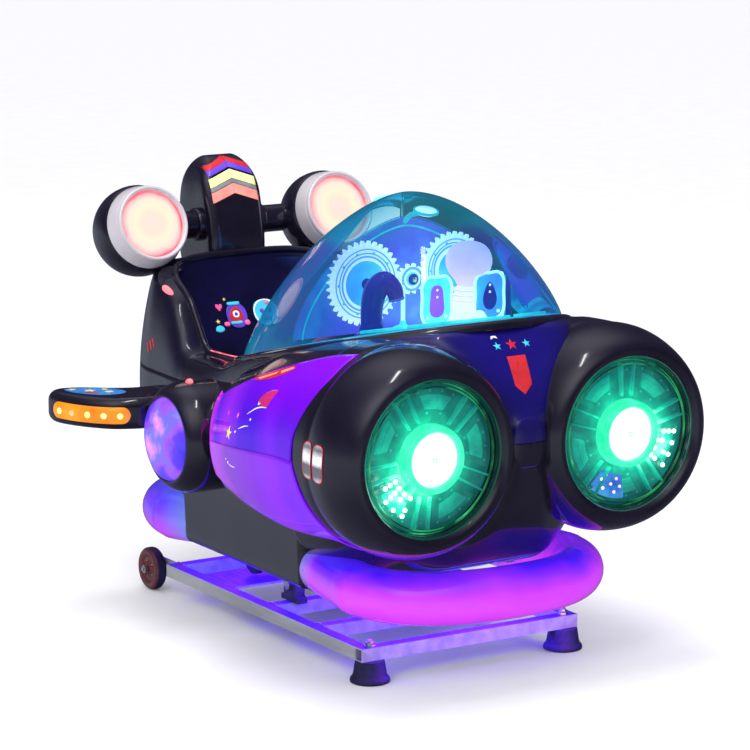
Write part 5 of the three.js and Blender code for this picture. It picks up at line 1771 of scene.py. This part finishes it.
def seat_films(bucket):
    tree = tree_of(bucket)
    at, u, v = (-2, 988, 653), (1, 0, 0), (0, .43, .90)

    def patch(name, outlines, colour, lift):
        drape("seat_" + name, outlines, at, u, v, tree, STICKER[colour], lift=lift, thick=.3, fine=7)

    # a round badge with a plain toy rocket on it, and small shapes about it
    patch("badge_back",
          [b_spline([(-66, -26), (-20, -30), (-6, 4), (-14, 34), (-44, 44), (-70, 26)], 6)], "violet",
          2.6)
    patch("badge_body",
          [b_spline([(-58, -14), (-26, -18), (-18, 8), (-34, 34), (-52, 26), (-62, 6)], 6)], "red", 3.2)
    patch("badge_window", [pill(-40, 10, 9, 9)], "white", 3.8)
    patch("badge_core", [pill(-40, 10, 4.5, 4.5)], "violet", 4.3)
    patch("badge_band", [pill(-42, 38, 18, 4), pill(-44, -12, 16, 3.5)], "cyan", 4.0)
    patch("badge_side", [pill(-14, -14, 7, 7), pill(-72, -14, 8, 6)], "pink", 3.6)
    heart = [(0, -9), (9, 1), (8, 8), (3, 8.5), (0, 5), (-3, 8.5), (-8, 8), (-9, 1)]
    patch("heart", [[(x * 1.1 - 84, y * 1.1 + 30) for x, y in heart]], "pink", 2.8)
    patch("spark_yellow", [star(-96, -6, 7), star(-64, 50, 5)], "yellow", 2.8)
    patch("cloud", [b_spline([(-112, -34), (-84, -34), (-80, -22), (-92, -14), (-106, -18)], 6)], "cyan",
          2.8)
    patch("disc", [pill(44, 8, 34, 34)], "cyan", 2.6)
    patch("disc_ring", ring_cells(44, 8, 34, 4), "white", 3.2)
    patch("disc_mark", [pill(34, 12, 6, 6), pill(56, 12, 5, 5), pill(46, -10, 12, 4)], "violet", 3.2)
    patch("disc_spark", [star(52, 32, 7)], "pink", 3.4)


# ---------- controls ----------

def controls():
    lean = math.radians(50)
    axis = np.array([0, math.cos(lean), math.sin(lean)])
    hub = np.array([0, 566, 640])
    u, v, _ = axis_frame(axis)
    rope("wheel_rim", circle(hub, 88, u, v, 96), 10.8, RED, sides=20, closed=True, up=axis,
         body="steering", slot="red_plastic", stands_for=("steering_wheel",))
    boss = [(12.4, -12), (25, -12), (30, -4), (32, 5), (29, 9.6), (18, 9.8), (17.8, -.8), (12.4, -.8),
            (12.4, -12)]
    lathe("wheel_boss", boss, axis, hub, RED, sides=48, body="steering", slot="red_plastic")
    for k, turn in enumerate((90, 210, 330)):
        t = math.radians(turn)
        out = math.cos(t) * np.array([1, 0, 0]) + math.sin(t) * np.cross(axis, (1, 0, 0))
        rope(f"wheel_spoke_{k}", [hub + out * 26, hub + out * 55, hub + out * 84], 8, RED, sides=16,
             squash=.5, up=axis, body="steering", slot="red_plastic")
    lathe("horn_cap", round_profile([(0, 17), (10, 16.4), (14.5, 14), (16.8, 9), (17, 3.2)], 5), axis,
          hub, AMBER, sides=48, body="horn", slot="amber_lens", stands_for=("horn_button",))
    start = [(0, 14), (8, 13.4), (12.5, 11.5), (14.8, 8), (15, 4.7)]
    lathe("start_cap", round_profile(start, 5), (0, 1, 0), (130, 500, 575), RED, sides=48, body="start",
          slot="red_plastic", stands_for=("start_button",))
    bezel = [(16, 4.6), (17, 8), (20, 8.4), (22, 6), (22, 2)]
    lathe("start_bezel", round_profile(bezel, 4), (0, 1, 0), (130, 501, 575), BRIGHT, sides=48,
          slot="bright_steel")


# ---------- base ----------

def base():
    for name, side in SIDES:
        foot = [(0, 0), (33, 0), (35.4, 1.5), (35.8, 5), (35, 10), (32.5, 13), (30, 20), (26.6, 46),
                (26, 50), (0, 50)]
        low, high = box_mm("foot_" + name)
        wide, tall = (high[0] - low[0]) / 2, high[2] - low[2]
        profile = [(r * wide / 35.8, z * tall / 50) for r, z in foot]
        lathe("rubber_foot_" + name, profile, (0, 0, 1), (*(low + high)[:2] / 2, 0), RUBBER, sides=72,
              body="base", slot="rubber", stands_for=("foot_" + name,), angle=40)
        low, high = box_mm("rear_wheel_" + name)
        middle, wide, r = (low + high) / 2, (high[0] - low[0]) / 2, (high[2] - low[2]) / 2
        tyre = [(r - 17, -wide + 2), (r - 12, -wide), (r - 5, -wide + 1), (r - 1.4, -wide + 5),
                (r, -wide * .4), (r, wide * .4), (r - 1.4, wide - 5), (r - 5, wide - 1), (r - 12, wide),
                (r - 17, wide - 2)]
        core = [(7, wide - 1), (12, wide - 1), (14, wide - 3), (18, wide - 6), (r - 22, wide - 6),
                (r - 19, wide - 3), (r - 17, wide - 2)]
        back = [(r, -z) for r, z in core[::-1]]
        profile = core + tyre[::-1][1:-1] + [(r - 17, -wide + 2)] + back[1:] + [(7, wide - 1)]
        spans = len(profile) - 1
        sides = len(core) + 2  # how many rings of faces from each edge are the wheel's own colour
        looks = [1 if i < sides or i >= spans - sides else 0 for i in range(spans)]
        lathe("castor_" + name, profile, (side, 0, 0), middle, [RUBBER, MAROON], sides=96, indices=looks,
              body="wheel_" + name, slot="castor_wheel", stands_for=("rear_wheel_" + name,), angle=40)
        nuts = circle(middle + (side * (wide - 5), 0, 0), 21, (0, 1, 0), (0, 0, 1), 5)
        blobs("castor_rivets_" + name, nuts, 3, BRIGHT, axis=(side, 0, 0), body="wheel_" + name,
              slot="bright_steel")


def cover_nodes():
    """Finishes for the CAD nodes that show as they are."""
    looks = {ZINC: ("front_beam", "rear_beam", "front_crossbeam", "pivot_crossbeam", "motor_plate",
                    "side_rail_left", "side_rail_right"),
                    BRIGHT: ("foot_bolt_left", "foot_bolt_right", "axle_bolt_left", "axle_bolt_right",
                             "pivot_shaft", "crank_disc"),
                             CAST: ("pillow_block_left", "pillow_block_right", "gearbox", "motor",
                                    "connecting_rod", "hull_frame", "steering_column", "control_box"),}
    for material, names in looks.items():
        for name in names:
            for place in bpy.data.objects[name].material_slots:
                place.material = material


def weld_beads():
    """The welds where the cross tubes meet the side rails."""
    for name in ("front_crossbeam", "pivot_crossbeam", "rear_beam"):
        low, high = box_mm(name)
        for end, x in (("left", low[0] + 1.2), ("right", high[0] - 1.2)):
            wobble = np.sin(np.arange(30) * 1.9) * .2
            path = [(x, low[1] + 1 + (high[1] - low[1] - 2) * k / 29, high[2] + .6 + w)
                    for k, w in enumerate(wobble)]
            rope(f"weld_{name}_{end}", path, 2.2, BRIGHT, sides=8, body="base", slot="galvanised_tube")


nacelle_films()
hull_films()
seat_films(BUCKET)
controls()
base()
cover_nodes()
weld_beads()


# ---------- floor and light ----------------

def floor_piece():
    made = bmesh.new()
    bmesh.ops.create_grid(made, x_segments=8, y_segments=8, size=30)
    mesh = bpy.data.meshes.new("floor")
    made.to_mesh(mesh)
    made.free()
    mesh.materials.append(FLOOR)
    floor = bpy.data.objects.new("floor", mesh)
    scene.collection.objects.link(floor)
    floor.visible_glossy = False


floor_piece()
studio()
